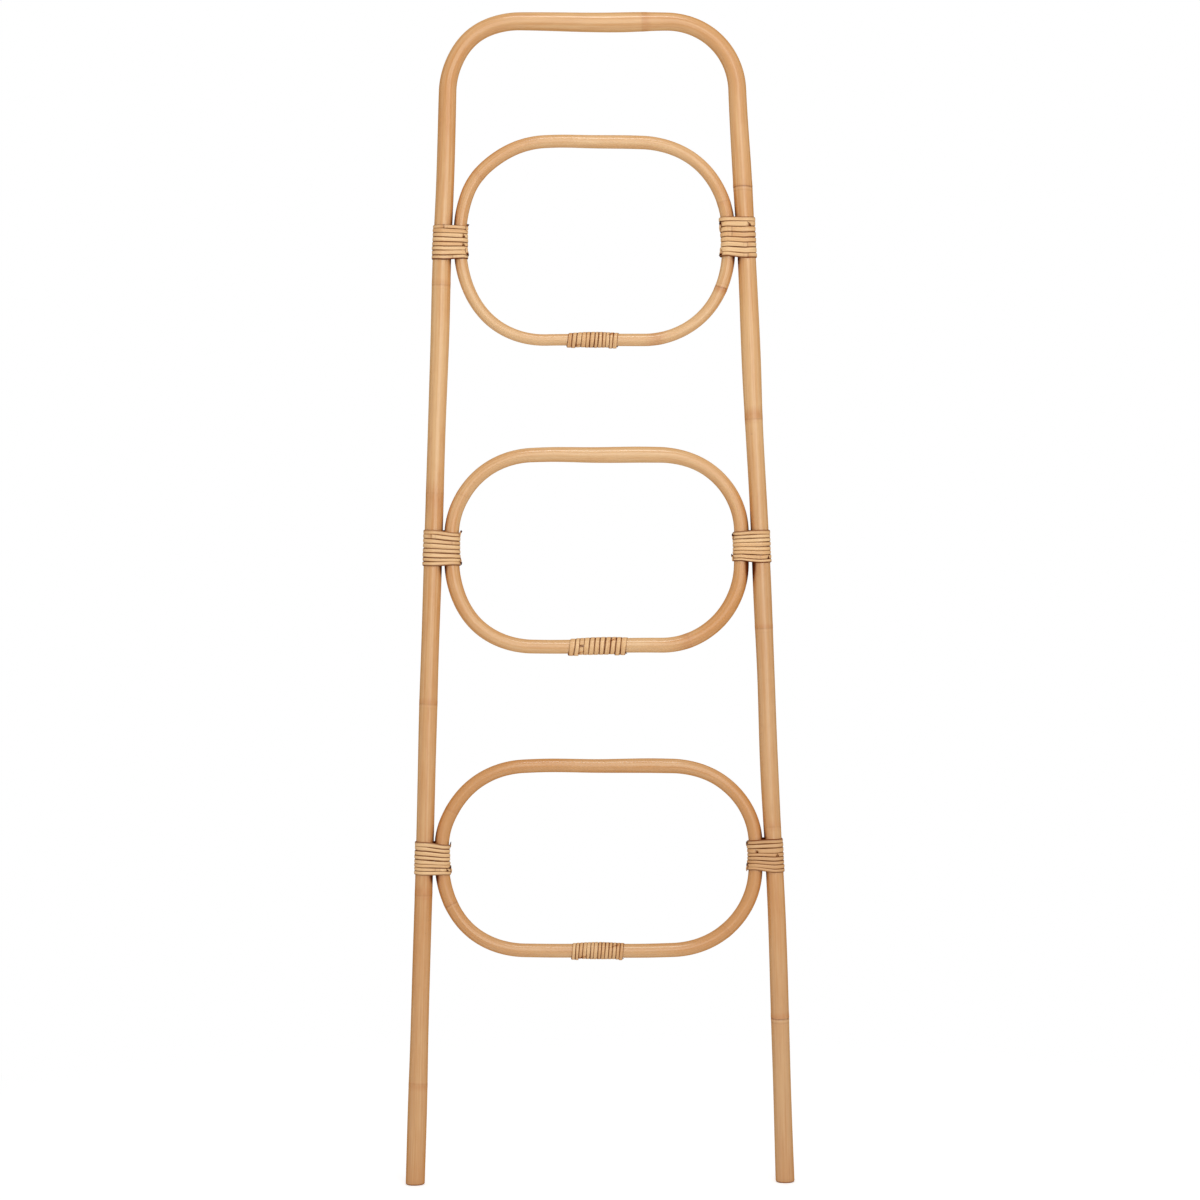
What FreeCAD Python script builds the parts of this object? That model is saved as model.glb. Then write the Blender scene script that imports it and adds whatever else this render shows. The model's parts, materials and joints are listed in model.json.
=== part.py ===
import FreeCAD, Part
import math
import os

import Sketcher

# A towel stand of natural rattan: one pole bent into a ladder frame, three rings of thinner rod
# between its legs, and peel lashed round every joint. The stand is upright, its front faces -Y,
# and the origin is on the floor midway between the feet.

# Driving dimensions in millimetres, with counts where the name says turns
DIMENSIONS = {
    # the bent pole
    "stand_height": 1698,
    "foot_spacing": 539,
    "shoulder_spacing": 415.2,
    "shoulder_bend_radius": 104,
    "pole_diameter": 27.2,
    "foot_rounding": 3,
    # the three rings
    "bar_to_ring": 318,
    "ring_pitch": 447.6,
    "ring_to_pole_gap": 0.3,
    "upper_bend_radius": 124,
    "middle_bend_radius": 117,
    "lower_bend_radius": 120,
    "upper_side_straight": 39,
    "middle_side_straight": 43,
    "lower_side_straight": 28,
    "upper_rod_diameter": 19.4,
    "middle_rod_diameter": 22,
    "lower_rod_diameter": 21,
    # the scarf splice in the bottom of a ring
    "scarf_length": 56,
    "scarf_gap": 0.3,
    "splice_swell": 0.8,
    # the peel bindings
    "peel_thickness": 1.8,
    "peel_gap": 0.55,
    "peel_seat": 0.15,
    "lashing_turns": 8,
    "upper_lashing_length": 56,
    "middle_lashing_length": 48,
    "lower_lashing_length": 49,
    "upper_wrap_length": 70,
    "middle_wrap_length": 78,
    "lower_wrap_length": 69,
    "upper_wrap_turns": 12,
    "middle_wrap_turns": 11,
    "lower_wrap_turns": 14,
    # the screw from a ring into a leg
    "screw_length": 38,
    "screw_diameter": 3.5,
    "screw_point_length": 5,
    "screw_head_diameter": 6.8,
    "screw_head_height": 2.2,
    "screw_slot_width": 1,
    "screw_slot_depth": 1.1,
    "screw_sink": 0.9,
    # the brads through a splice
    "brad_length": 15.5,
    "brad_diameter": 1.6,
    "brad_point_length": 2,
    "brad_head_diameter": 2.8,
    "brad_head_height": 0.8,
    "brad_sink": 0.5,
    "brad_spacing": 16,
    # the tacks at the ends of a binding
    "tack_length": 8,
    "tack_diameter": 1.2,
    "tack_point_length": 2,
    "tack_head_diameter": 2.6,
    "tack_head_height": 0.7,
    "tack_sink": 0.4,
    # drilled holes and cuts
    "drill_clearance": 0.1,
    "cut_overrun": 2,
}

LEVELS = ("upper", "middle", "lower")
SIDES = {"left": -1, "right": 1}
ZERO = "0"

# Path samples on each curve of a binding, and how many peel widths along it count as the same turn
SAMPLES_PER_CURVE = 8
SAME_TURN_WIDTHS = 3

# How far a chord may stray from its tangent, as a share of its length, and still be a straight run
STRAIGHT_SHARE = 1e-6

document = FreeCAD.newDocument("towel_stand")
sheet = document.addObject("Spreadsheet::Sheet", "dims")
for row, (alias, value) in enumerate(DIMENSIONS.items(), start=1):
    sheet.set(f"A{row}", alias)
    sheet.set(f"B{row}", str(value))
    sheet.setAlias(f"B{row}", alias)
document.recompute()


def size(expression):
    """The value of an expression on the sheet's cells."""
    return float(sheet.evalExpression(expression))


# Places worked out from the driving dimensions, as expressions on the sheet

POLE_RADIUS = "(dims.pole_diameter / 2)"
BAR_RISE = f"(dims.stand_height - {POLE_RADIUS})"
SPLAY = f"((dims.foot_spacing - dims.shoulder_spacing) / (2 * {BAR_RISE}))"
LEAN = f"sqrt(1 + {SPLAY}^2)"
SHOULDER_RUN = f"(dims.shoulder_bend_radius * ({LEAN} - {SPLAY}))"
SCREW_BORE = "(dims.screw_diameter / 2 + dims.drill_clearance)"
RING_RISE = {
    "upper": f"({BAR_RISE} - dims.bar_to_ring)",
    "middle": f"({BAR_RISE} - dims.bar_to_ring - dims.ring_pitch)",
    "lower": f"({BAR_RISE} - dims.bar_to_ring - 2 * dims.ring_pitch)",
}


def leg_reach(rise):
    """How far a leg's centreline is from the middle at a height."""
    return f"(dims.foot_spacing / 2 - {SPLAY} * ({rise}))"


def rod_radius(level):
    return f"(dims.{level}_rod_diameter / 2)"


def bend_radius(level):
    return f"dims.{level}_bend_radius"


def side_half(level):
    """Half of the straight stretch in a ring's side."""
    return f"(dims.{level}_side_straight / 2)"


def ring_half_tall(level):
    """From a ring's middle to the centreline of its bottom rod."""
    return f"({side_half(level)} + {bend_radius(level)})"


def ring_reach(level):
    """From the middle to the centreline of a ring's side, which just clears the leaning leg."""
    nearest = f"{RING_RISE[level]} + {side_half(level)}"
    room = f"{bend_radius(level)} + {rod_radius(level)} + {POLE_RADIUS} + dims.ring_to_pole_gap"
    return f"({leg_reach(nearest)} + {bend_radius(level)} - ({room}) * {LEAN})"


def side_reach(level, offset):
    """The same centreline at a height above or below the ring's middle, where it begins to bend."""
    past = f"max(0; {offset} - {side_half(level)})"
    inset = f"{bend_radius(level)} - sqrt({bend_radius(level)}^2 - {past}^2)"
    return f"({ring_reach(level)} - ({inset}))"


def screw_reach(level):
    """From the middle to the top of a screw's head, sunk in the inner face of the ring's side."""
    return f"({ring_reach(level)} - {rod_radius(level)} + dims.screw_sink)"


def splice_rise(level):
    """The height of the bottom rod's centreline."""
    return f"({RING_RISE[level]} - {ring_half_tall(level)})"


def lashing_half(level):
    return f"(dims.{level}_lashing_length / 2)"


def wrap_half(level):
    return f"(dims.{level}_wrap_length / 2)"


def swell_radius(level):
    """The radius of the arc that swells the rod at its splice."""
    return f"(({wrap_half(level)}^2 + 4 * dims.splice_swell^2) / (4 * dims.splice_swell))"


def bound_radius(level):
    """From a ring rod's centreline to the outside of the peel on it."""
    return f"({rod_radius(level)} + dims.peel_seat + dims.peel_thickness)"


# Sketch helpers


def new_sketch(body, name, role, along=ZERO, up=ZERO):
    """A sketch on one of the body's origin planes, moved along the plane's normal and its own Y."""
    sketch = body.newObject("Sketcher::SketchObject", name)
    plane = next(item for item in body.Origin.OriginFeatures if item.Role == role)
    sketch.AttachmentSupport = [(plane, "")]
    sketch.MapMode = "FlatFace"
    if along != ZERO:
        sketch.setExpression("AttachmentOffset.Base.z", along)
    if up != ZERO:
        sketch.setExpression("AttachmentOffset.Base.y", up)
    return sketch


def bind(sketch, constraint, expression):
    index = sketch.addConstraint(constraint)
    name = f"size_{index}"
    sketch.renameConstraint(index, name)
    sketch.setExpression(f"Constraints.{name}", expression)


def hold(sketch, geometry, point, place):
    """Hold a sketch point at a place given as two expressions."""
    for kind, axis, expression in (("DistanceX", -2, place[0]), ("DistanceY", -1, place[1])):
        if expression == ZERO:
            sketch.addConstraint(Sketcher.Constraint("PointOnObject", geometry, point, axis))
            continue
        value = size(expression)
        if value > 0:
            bind(sketch, Sketcher.Constraint(kind, -1, 1, geometry, point, value), expression)
        else:
            constraint = Sketcher.Constraint(kind, geometry, point, -1, 1, -value)
            bind(sketch, constraint, f"-({expression})")


def spot(place):
    return FreeCAD.Vector(size(place[0]), size(place[1]), 0)


def add_circle(sketch, place, radius):
    circle = Part.Circle(spot(place), FreeCAD.Vector(0, 0, 1), size(radius))
    geometry = sketch.addGeometry(circle, False)
    bind(sketch, Sketcher.Constraint("Radius", geometry, size(radius)), radius)
    hold(sketch, geometry, 3, place)


def add_outline(sketch, places, arcs=None, closed=True):
    """Lines through places in turn, anticlockwise, with an arc after the places named in arcs."""
    arcs = arcs or {}
    count = len(places) if closed else len(places) - 1
    for index in range(count):
        start = spot(places[index])
        end = spot(places[(index + 1) % len(places)])
        if index not in arcs:
            sketch.addGeometry(Part.LineSegment(start, end), False)
            continue
        centre_place, radius = arcs[index]
        centre = spot(centre_place)
        circle = Part.Circle(centre, FreeCAD.Vector(0, 0, 1), size(radius))
        first = math.atan2(start.y - centre.y, start.x - centre.x)
        last = math.atan2(end.y - centre.y, end.x - centre.x)
        sketch.addGeometry(Part.ArcOfCircle(circle, first, last), False)
    for index in range(count):
        hold(sketch, index, 1, places[index])
        if index + 1 < len(places):
            if index + 1 < count:
                sketch.addConstraint(Sketcher.Constraint("Coincident", index, 2, index + 1, 1))
            else:
                hold(sketch, index, 2, places[index + 1])
        else:
            sketch.addConstraint(Sketcher.Constraint("Coincident", index, 2, 0, 1))
    for index, (centre_place, radius) in arcs.items():
        bind(sketch, Sketcher.Constraint("Radius", index, size(radius)), radius)


def add_pipe(body, name, section, path):
    pipe = body.newObject("PartDesign::AdditivePipe", name)
    pipe.Profile = section
    pipe.Spine = path


def add_pocket(body, name, sketch, depth=None, both_ways=False):
    """A pocket away from the sketch's normal, or both ways, to a depth or right through."""
    document.recompute()
    before = body.Shape.Volume
    pocket = body.newObject("PartDesign::Pocket", name)
    pocket.Profile = sketch
    if both_ways:
        pocket.SideType = "Symmetric"
    if depth is None:
        pocket.Type = "ThroughAll"
    else:
        pocket.setExpression("Length", depth)
    document.recompute()
    if not pocket.Shape.Volume < before:
        raise RuntimeError(f"{body.Label}: {name} cuts nothing")
    return pocket


# The bent pole, whose path runs below the floor so that its feet can be cut flat there

FOOT_PATH_REACH = leg_reach("-dims.cut_overrun")


def pole_path_places():
    foot = FOOT_PATH_REACH
    below = "-dims.cut_overrun"
    corner = "dims.shoulder_spacing / 2"
    leg_top = (
        f"{corner} + {SHOULDER_RUN} * {SPLAY} / {LEAN}",
        f"{BAR_RISE} - {SHOULDER_RUN} / {LEAN}",
    )
    bar_end = f"{corner} - {SHOULDER_RUN}"
    centre_rise = f"{BAR_RISE} - dims.shoulder_bend_radius"
    places = [
        (foot, below),
        leg_top,
        (bar_end, BAR_RISE),
        (f"-({bar_end})", BAR_RISE),
        (f"-({leg_top[0]})", leg_top[1]),
        (f"-({foot})", below),
    ]
    arcs = {
        1: ((bar_end, centre_rise), "dims.shoulder_bend_radius"),
        3: ((f"-({bar_end})", centre_rise), "dims.shoulder_bend_radius"),
    }
    return places, arcs


def make_frame_pole():
    """The pole from foot to foot, rounded at the feet and drilled for the ring screws."""
    body = document.addObject("PartDesign::Body", "frame_pole")
    path = new_sketch(body, "pole_path", "XZ_Plane")
    places, arcs = pole_path_places()
    add_outline(path, places, arcs, closed=False)
    section = new_sketch(body, "pole_section", "XY_Plane", along="-dims.cut_overrun")
    add_circle(section, (FOOT_PATH_REACH, ZERO), POLE_RADIUS)
    add_pipe(body, "pole_pipe", section, path)
    floor = new_sketch(body, "foot_outline", "XY_Plane")
    for place in ("dims.foot_spacing / 2", "-(dims.foot_spacing / 2)"):
        add_circle(floor, (place, ZERO), "dims.pole_diameter")
    cut = add_pocket(body, "foot_cut", floor)
    rounding = size("dims.foot_rounding")
    foot_edges = [
        f"Edge{index}"
        for index, edge in enumerate(cut.Shape.Edges, start=1)
        if edge.CenterOfMass.z < rounding
    ]
    fillet = body.newObject("PartDesign::Fillet", "foot_edges")
    fillet.Base = (cut, foot_edges)
    fillet.setExpression("Radius", "dims.foot_rounding")
    for level in LEVELS:
        hole = new_sketch(body, f"{level}_screw_hole", "YZ_Plane")
        add_circle(hole, (ZERO, RING_RISE[level]), SCREW_BORE)
        reach = f"2 * ({screw_reach(level)} + dims.screw_length + dims.drill_clearance)"
        add_pocket(body, f"{level}_screw_bore", hole, reach, both_ways=True)
    return body


# The screws that hold a ring to the legs


def make_screw(level, side):
    body = document.addObject("PartDesign::Body", f"{level}_{side}_screw")
    head = "dims.screw_head_diameter / 2"
    shank = "dims.screw_diameter / 2"
    profile = new_sketch(body, f"{body.Name}_profile", "XZ_Plane")
    add_outline(profile, [
        (ZERO, ZERO),
        ("dims.screw_length", ZERO),
        ("dims.screw_length - dims.screw_point_length", shank),
        ("dims.screw_head_height", shank),
        ("dims.screw_head_height", head),
        (ZERO, head),
    ])
    turned = body.newObject("PartDesign::Revolution", f"{body.Name}_turned")
    turned.Profile = profile
    turned.ReferenceAxis = (profile, ["H_Axis"])
    slot = new_sketch(body, f"{body.Name}_slot", "YZ_Plane", along="dims.screw_slot_depth")
    half_width = "dims.screw_slot_width / 2"
    half_long = f"{head} + dims.cut_overrun"
    add_outline(slot, [
        (f"-({half_width})", f"-({half_long})"),
        (half_width, f"-({half_long})"),
        (half_width, half_long),
        (f"-({half_width})", half_long),
    ])
    add_pocket(body, f"{body.Name}_slot_cut", slot)
    if SIDES[side] < 0:
        body.Placement.Rotation = FreeCAD.Rotation(FreeCAD.Vector(0, 0, 1), 180)
        body.setExpression("Placement.Base.x", f"-({screw_reach(level)})")
    else:
        body.setExpression("Placement.Base.x", screw_reach(level))
    body.setExpression("Placement.Base.z", RING_RISE[level])
    return body


# The rings


def brad_seat(level):
    """The height of the underside of a brad's head, sunk in the bottom of the splice."""
    sunk = "dims.brad_sink + dims.brad_head_height"
    return f"({splice_rise(level)} - {rod_radius(level)} + {sunk})"


def wrap_tack_seat(level):
    """The height of the underside of a tack's head, under the end of a wrap."""
    return f"({splice_rise(level)} - {bound_radius(level)} + dims.tack_sink)"


def lashing_tack_seat(level):
    """How far back the underside of a tack's head is, behind the end of a lashing."""
    return f"({bound_radius(level)} - dims.tack_sink)"


def ring_path_places(level):
    reach = ring_reach(level)
    radius = bend_radius(level)
    turn = f"{reach} - {radius}"
    top = f"{RING_RISE[level]} + {ring_half_tall(level)}"
    bottom = splice_rise(level)
    side_top = f"{RING_RISE[level]} + {side_half(level)}"
    side_bottom = f"{RING_RISE[level]} - {side_half(level)}"
    places = [
        (ZERO, bottom),
        (turn, bottom),
        (reach, side_bottom),
        (reach, side_top),
        (turn, top),
        (f"-({turn})", top),
        (f"-({reach})", side_top),
        (f"-({reach})", side_bottom),
        (f"-({turn})", bottom),
    ]
    arcs = {
        1: ((turn, side_bottom), radius),
        3: ((turn, side_top), radius),
        5: ((f"-({turn})", side_top), radius),
        7: ((f"-({turn})", side_bottom), radius),
    }
    return places, arcs


def add_splice(body, level):
    """The swelling where the rod's two ends overlap, and the slanted cut between them."""
    profile = new_sketch(body, f"{level}_swell_profile", "XZ_Plane", up=splice_rise(level))
    half = wrap_half(level)
    end = f"{rod_radius(level)} - dims.splice_swell"
    crown = f"{rod_radius(level)} + dims.splice_swell"
    radius = swell_radius(level)
    places = [(f"-({half})", ZERO), (half, ZERO), (half, end), (f"-({half})", end)]
    add_outline(profile, places, {2: ((ZERO, f"{crown} - {radius}"), radius)})
    swell = body.newObject("PartDesign::Revolution", f"{level}_swell")
    swell.Profile = profile
    swell.ReferenceAxis = (profile, ["H_Axis"])
    scarf = new_sketch(body, f"{level}_scarf_outline", "XZ_Plane", up=splice_rise(level))
    rise = f"({crown} + dims.cut_overrun)"
    run = f"({rise} * dims.scarf_length / dims.{level}_rod_diameter)"
    half_slit = f"(dims.scarf_gap / 2 * sqrt({run}^2 + {rise}^2) / {rise})"
    add_outline(scarf, [
        (f"-({run}) - {half_slit}", f"-({rise})"),
        (f"-({run}) + {half_slit}", f"-({rise})"),
        (f"{run} + {half_slit}", rise),
        (f"{run} - {half_slit}", rise),
    ])
    add_pocket(body, f"{level}_scarf", scarf, both_ways=True)


def drill_ring(body, level):
    """The holes for the screws, the brads and the tacks."""
    bore = new_sketch(body, f"{level}_ring_bore", "YZ_Plane")
    add_circle(bore, (ZERO, RING_RISE[level]), SCREW_BORE)
    add_pocket(body, f"{level}_ring_bore_cut", bore, both_ways=True)
    head = new_sketch(body, f"{level}_ring_head", "YZ_Plane")
    head_room = "dims.screw_head_diameter / 2 + dims.drill_clearance"
    add_circle(head, (ZERO, RING_RISE[level]), head_room)
    seat = f"2 * ({screw_reach(level)} + dims.screw_head_height)"
    add_pocket(body, f"{level}_ring_head_cut", head, seat, both_ways=True)

    brad_tip = f"{brad_seat(level)} + dims.brad_length + dims.drill_clearance"
    tack_tip = f"{wrap_tack_seat(level)} + dims.tack_length + dims.drill_clearance"
    half_spacing = "dims.brad_spacing / 2"
    from_below = (
        ("brad_bore", brad_tip, half_spacing, "dims.brad_diameter"),
        ("brad_head", brad_seat(level), half_spacing, "dims.brad_head_diameter"),
        ("wrap_tack_bore", tack_tip, wrap_half(level), "dims.tack_diameter"),
    )
    for name, plane, across, diameter in from_below:
        sketch = new_sketch(body, f"{level}_{name}", "XY_Plane", along=plane)
        for place in (across, f"-({across})"):
            add_circle(sketch, (place, ZERO), f"{diameter} / 2 + dims.drill_clearance")
        add_pocket(body, f"{level}_{name}_cut", sketch)

    depth = f"-({lashing_tack_seat(level)} - dims.tack_length - dims.drill_clearance)"
    tacks = new_sketch(body, f"{level}_lashing_tack_bore", "XZ_Plane", along=depth)
    across = side_reach(level, lashing_half(level))
    top = f"{RING_RISE[level]} + {lashing_half(level)}"
    bottom = f"{RING_RISE[level]} - {lashing_half(level)}"
    for place in (across, f"-({across})"):
        for rise in (bottom, top):
            add_circle(tacks, (place, rise), "dims.tack_diameter / 2 + dims.drill_clearance")
    add_pocket(body, f"{level}_lashing_tack_bore_cut", tacks)


def make_ring(level):
    body = document.addObject("PartDesign::Body", f"{level}_ring")
    path = new_sketch(body, f"{level}_ring_path", "XZ_Plane")
    places, arcs = ring_path_places(level)
    add_outline(path, places, arcs)
    section = new_sketch(body, f"{level}_ring_section", "YZ_Plane")
    add_circle(section, (ZERO, splice_rise(level)), rod_radius(level))
    add_pipe(body, f"{level}_ring_pipe", section, path)
    add_splice(body, level)
    drill_ring(body, level)
    return body


# The peel bindings: one unbroken peel each, flat inside and round outside, wound along biarcs


def arc_from(start, direction, end):
    """The arc that leaves a point in a direction and ends at another point."""
    chord = end - start
    side = chord - direction * chord.dot(direction)
    if side.Length < chord.Length * STRAIGHT_SHARE:
        return Part.LineSegment(start, end)
    side.normalize()
    radius = chord.dot(chord) / (2 * chord.dot(side))
    half_turn = math.atan2(chord.dot(side), chord.dot(direction))
    sideways = side * (radius - radius * math.cos(half_turn))
    onward = direction * (radius * math.sin(half_turn))
    return Part.Arc(start, start + sideways + onward, end)


def biarc(start, start_direction, end, end_direction):
    """Two tangent arcs between two points with given directions, or one straight run."""
    chord = end - start
    if (chord - start_direction * chord.dot(start_direction)).Length < chord.Length * STRAIGHT_SHARE:
        return [Part.LineSegment(start, end)]
    both = start_direction + end_direction
    spread = 2 * (1 - start_direction.dot(end_direction))
    root = math.sqrt(chord.dot(both) ** 2 + spread * chord.dot(chord))
    reach = chord.dot(chord) / (chord.dot(both) + root)
    meeting = (start + end + (start_direction - end_direction) * reach) * 0.5
    across = (end - end_direction * reach) - (start + start_direction * reach)
    across.normalize()
    return [arc_from(start, start_direction, meeting), arc_from(meeting, across, end)]


def least_gap(curves, width):
    """The least clear distance between one turn of a binding and another, measured on points."""
    points = []
    along = []
    travelled = 0
    for curve in curves:
        length = curve.length()
        span = curve.LastParameter - curve.FirstParameter
        for index in range(SAMPLES_PER_CURVE):
            share = index / SAMPLES_PER_CURVE
            points.append(curve.value(curve.FirstParameter + share * span))
            along.append(travelled + share * length)
        travelled += length
    nearest = min(
        points[first].distanceToPoint(points[second])
        for first in range(len(points))
        for second in range(first)
        if along[first] - along[second] > SAME_TURN_WIDTHS * width
    )
    return nearest - width


def wind(name, knots, width, axis, outward):
    """One peel through knots, each a point on its flat inside and a direction, wound about an axis."""
    curves = []
    for (start, start_direction), (end, end_direction) in zip(knots, knots[1:]):
        curves.extend(biarc(start, start_direction, end, end_direction))
    gap = least_gap(curves, width)
    print(f"{name}: least gap to itself {gap:.2f} mm")
    middle, direction = knots[0]
    across = (axis - direction * axis.dot(direction)).normalize() * (width / 2)
    crown = (outward - direction * outward.dot(direction)).normalize() * size("dims.peel_thickness")
    flat = Part.LineSegment(middle - across, middle + across)
    round_side = Part.Arc(middle + across, middle + crown, middle - across)
    shell = Part.BRepOffsetAPI.MakePipeShell(Part.Wire([curve.toShape() for curve in curves]))
    shell.setBiNormalMode(axis)
    shell.add(Part.Wire([flat.toShape(), round_side.toShape()]), False, False)
    shell.build()
    shell.makeSolid()
    return shell.shape()


def lashing_knots(level, width):
    """Turns round a leg and a ring's side, from one end behind the ring to the other."""
    turns = int(size("dims.lashing_turns"))
    start_offset = -size(lashing_half(level))
    climb = size(f"dims.{level}_lashing_length") / turns
    leg_radius = size(f"{POLE_RADIUS} + dims.peel_seat") + size(SPLAY) * width / 2
    rod_seat = size(f"{rod_radius(level)} + dims.peel_seat")
    middle_rise = size(RING_RISE[level])

    def ends(offset, facing):
        """Where a run leaves the leg and reaches the ring's side, in front (-1) or behind (1)."""
        rise = middle_rise + offset
        leg = FreeCAD.Vector(size(leg_reach(f"{rise}")), 0, rise)
        rod = FreeCAD.Vector(size(side_reach(level, f"{abs(offset)}")), 0, rise)
        past = max(0, abs(offset) - size(side_half(level)))
        rod_tilt = math.asin(past / size(bend_radius(level)))
        rod_turn_radius = rod_seat / math.cos(rod_tilt) + math.tan(rod_tilt) * width / 2
        slant = (leg_radius - rod_turn_radius) / (leg.x - rod.x)
        normal = FreeCAD.Vector(-slant, facing * math.sqrt(1 - slant ** 2), 0)
        return leg + normal * leg_radius, rod + normal * rod_turn_radius

    span = size(f"{leg_reach(RING_RISE[level])} - {ring_reach(level)}")
    lengths = [span, math.pi * leg_radius, span, math.pi * rod_seat]
    shares = [sum(lengths[:index]) / sum(lengths) for index in range(len(lengths))]
    points = []
    for turn in range(turns + 1):
        heights = [start_offset + climb * (turn + share) for share in shares]
        points.append((ends(heights[0], 1)[1], ends(heights[1], 1)[0]))
        points.append((ends(heights[2], -1)[0], ends(heights[3], -1)[1]))
    knots = []
    for start, end in points[:-1]:
        direction = (end - start).normalize()
        knots.append((start, direction))
        knots.append((end, direction))
    first, direction = knots[0]
    knots[0] = (first - direction * (width / 2), direction)
    last, direction = knots[-2]
    knots[-1] = (last + direction * width, direction)
    return knots


def wrap_knots(level, width):
    """Turns round the splice along X, from below at one end to below at the other."""
    turns = int(size(f"dims.{level}_wrap_turns"))
    length = size(f"dims.{level}_wrap_length")
    rod = size(rod_radius(level))
    crown = rod + size("dims.splice_swell")
    arc_radius = size(swell_radius(level))
    clear = size("dims.peel_seat")
    halves = 2
    knots = []
    for step in range(turns * halves + 1):
        share = step / (turns * halves)
        across = length * (share - 1 / 2)
        higher_edge = max(0, abs(across) - width / 2)
        swollen = crown - arc_radius + math.sqrt(arc_radius ** 2 - higher_edge ** 2)
        radius = max(rod, swollen) + clear
        angle = step * 2 * math.pi / halves
        outward = FreeCAD.Vector(0, -math.sin(angle), -math.cos(angle))
        around = FreeCAD.Vector(0, -math.cos(angle), math.sin(angle))
        advance = FreeCAD.Vector(length / (turns * 2 * math.pi * radius), 0, 0)
        centre = FreeCAD.Vector(across, 0, size(splice_rise(level)))
        knots.append((centre + outward * radius, (around + advance).normalize()))
    first, direction = knots[0]
    last, last_direction = knots[-1]
    knots.insert(0, (first - direction * width, direction))
    knots.append((last + last_direction * width, last_direction))
    return knots


def pin(kind):
    """A brad or a tack along +Z, with the underside of its head at zero."""
    length = size(f"dims.{kind}_length")
    radius = size(f"dims.{kind}_diameter / 2")
    head_radius = size(f"dims.{kind}_head_diameter / 2")
    head_height = size(f"dims.{kind}_head_height")
    point = size(f"dims.{kind}_point_length")
    outline = [
        (0, -head_height),
        (head_radius, -head_height),
        (head_radius, 0),
        (radius, 0),
        (radius, length - point),
        (0, length),
        (0, -head_height),
    ]
    wire = Part.makePolygon([FreeCAD.Vector(across, 0, up) for across, up in outline])
    return Part.Face(wire).revolve(FreeCAD.Vector(0, 0, 0), FreeCAD.Vector(0, 0, 1), 360)


def pin_hole(kind):
    """The hole for a pin through the peel, with room for its head."""
    clearance = size("dims.drill_clearance")
    shank = Part.makeCylinder(size(f"dims.{kind}_diameter / 2") + clearance, size(f"dims.{kind}_length"))
    head_radius = size(f"dims.{kind}_head_diameter / 2") + clearance
    head_room = size(f"dims.{kind}_head_height + dims.cut_overrun")
    head = Part.makeCylinder(head_radius, head_room, FreeCAD.Vector(0, 0, -head_room))
    return shank.fuse(head)


FROM_BELOW = FreeCAD.Rotation()
FROM_BEHIND = FreeCAD.Rotation(FreeCAD.Vector(0, 0, 1), FreeCAD.Vector(0, -1, 0))


def lashing_tack_places(level, side):
    """Where the two tacks of a lashing go in from behind."""
    across = SIDES[side] * size(side_reach(level, lashing_half(level)))
    behind = size(lashing_tack_seat(level))
    rise = size(RING_RISE[level])
    half = size(lashing_half(level))
    return [
        FreeCAD.Placement(FreeCAD.Vector(across, behind, rise + offset), FROM_BEHIND)
        for offset in (-half, half)
    ]


def wrap_tack_places(level):
    """Where the two tacks of a wrap go in from below."""
    half = size(wrap_half(level))
    rise = size(wrap_tack_seat(level))
    return [FreeCAD.Placement(FreeCAD.Vector(across, 0, rise), FROM_BELOW) for across in (-half, half)]


def brad_places(level):
    half = size("dims.brad_spacing / 2")
    rise = size(brad_seat(level))
    return [FreeCAD.Placement(FreeCAD.Vector(across, 0, rise), FROM_BELOW) for across in (-half, half)]


def at_places(shape, places):
    copies = []
    for place in places:
        copy = shape.copy()
        copy.Placement = place
        copies.append(copy)
    return copies


def new_feature(name, shape):
    feature = document.addObject("Part::Feature", name)
    feature.Shape = shape
    feature.Placement = FreeCAD.Placement()
    return feature


def make_pins(name, kind, places):
    """A group of brads or tacks, each a separate solid."""
    return new_feature(name, Part.Compound(at_places(pin(kind), places)))


def make_lashings(level):
    """The lashing on the right leg, and its mirror image on the left leg."""
    name = f"{level}_right_lashing"
    width = size(f"dims.{level}_lashing_length / dims.lashing_turns - dims.peel_gap")
    peel = wind(name, lashing_knots(level, width), width, FreeCAD.Vector(0, 0, 1), FreeCAD.Vector(0, 1, 0))
    peel = peel.cut(at_places(pin_hole("tack"), lashing_tack_places(level, "right")))
    right = new_feature(name, peel.Solids[0])
    left = document.addObject("Part::Mirroring", f"{level}_left_lashing")
    left.Source = right
    left.Normal = FreeCAD.Vector(1, 0, 0)
    return [left, right]


def make_wrap(level):
    """The wrap round the splice in the bottom of a ring."""
    name = f"{level}_splice_wrap"
    width = size(f"dims.{level}_wrap_length / dims.{level}_wrap_turns - dims.peel_gap")
    peel = wind(name, wrap_knots(level, width), width, FreeCAD.Vector(1, 0, 0), FreeCAD.Vector(0, 0, -1))
    peel = peel.cut(at_places(pin_hole("tack"), wrap_tack_places(level)))
    return new_feature(name, peel.Solids[0])


def make_stand():
    nodes = [make_frame_pole()]
    for level in LEVELS:
        nodes.append(make_ring(level))
        nodes.extend(make_screw(level, side) for side in SIDES)
        nodes.extend(make_lashings(level))
        nodes.append(make_wrap(level))
        nodes.append(make_pins(f"{level}_splice_brads", "brad", brad_places(level)))
        tack_places = wrap_tack_places(level)
        for side in SIDES:
            tack_places.extend(lashing_tack_places(level, side))
        nodes.append(make_pins(f"{level}_binding_tacks", "tack", tack_places))
    return nodes


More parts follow.
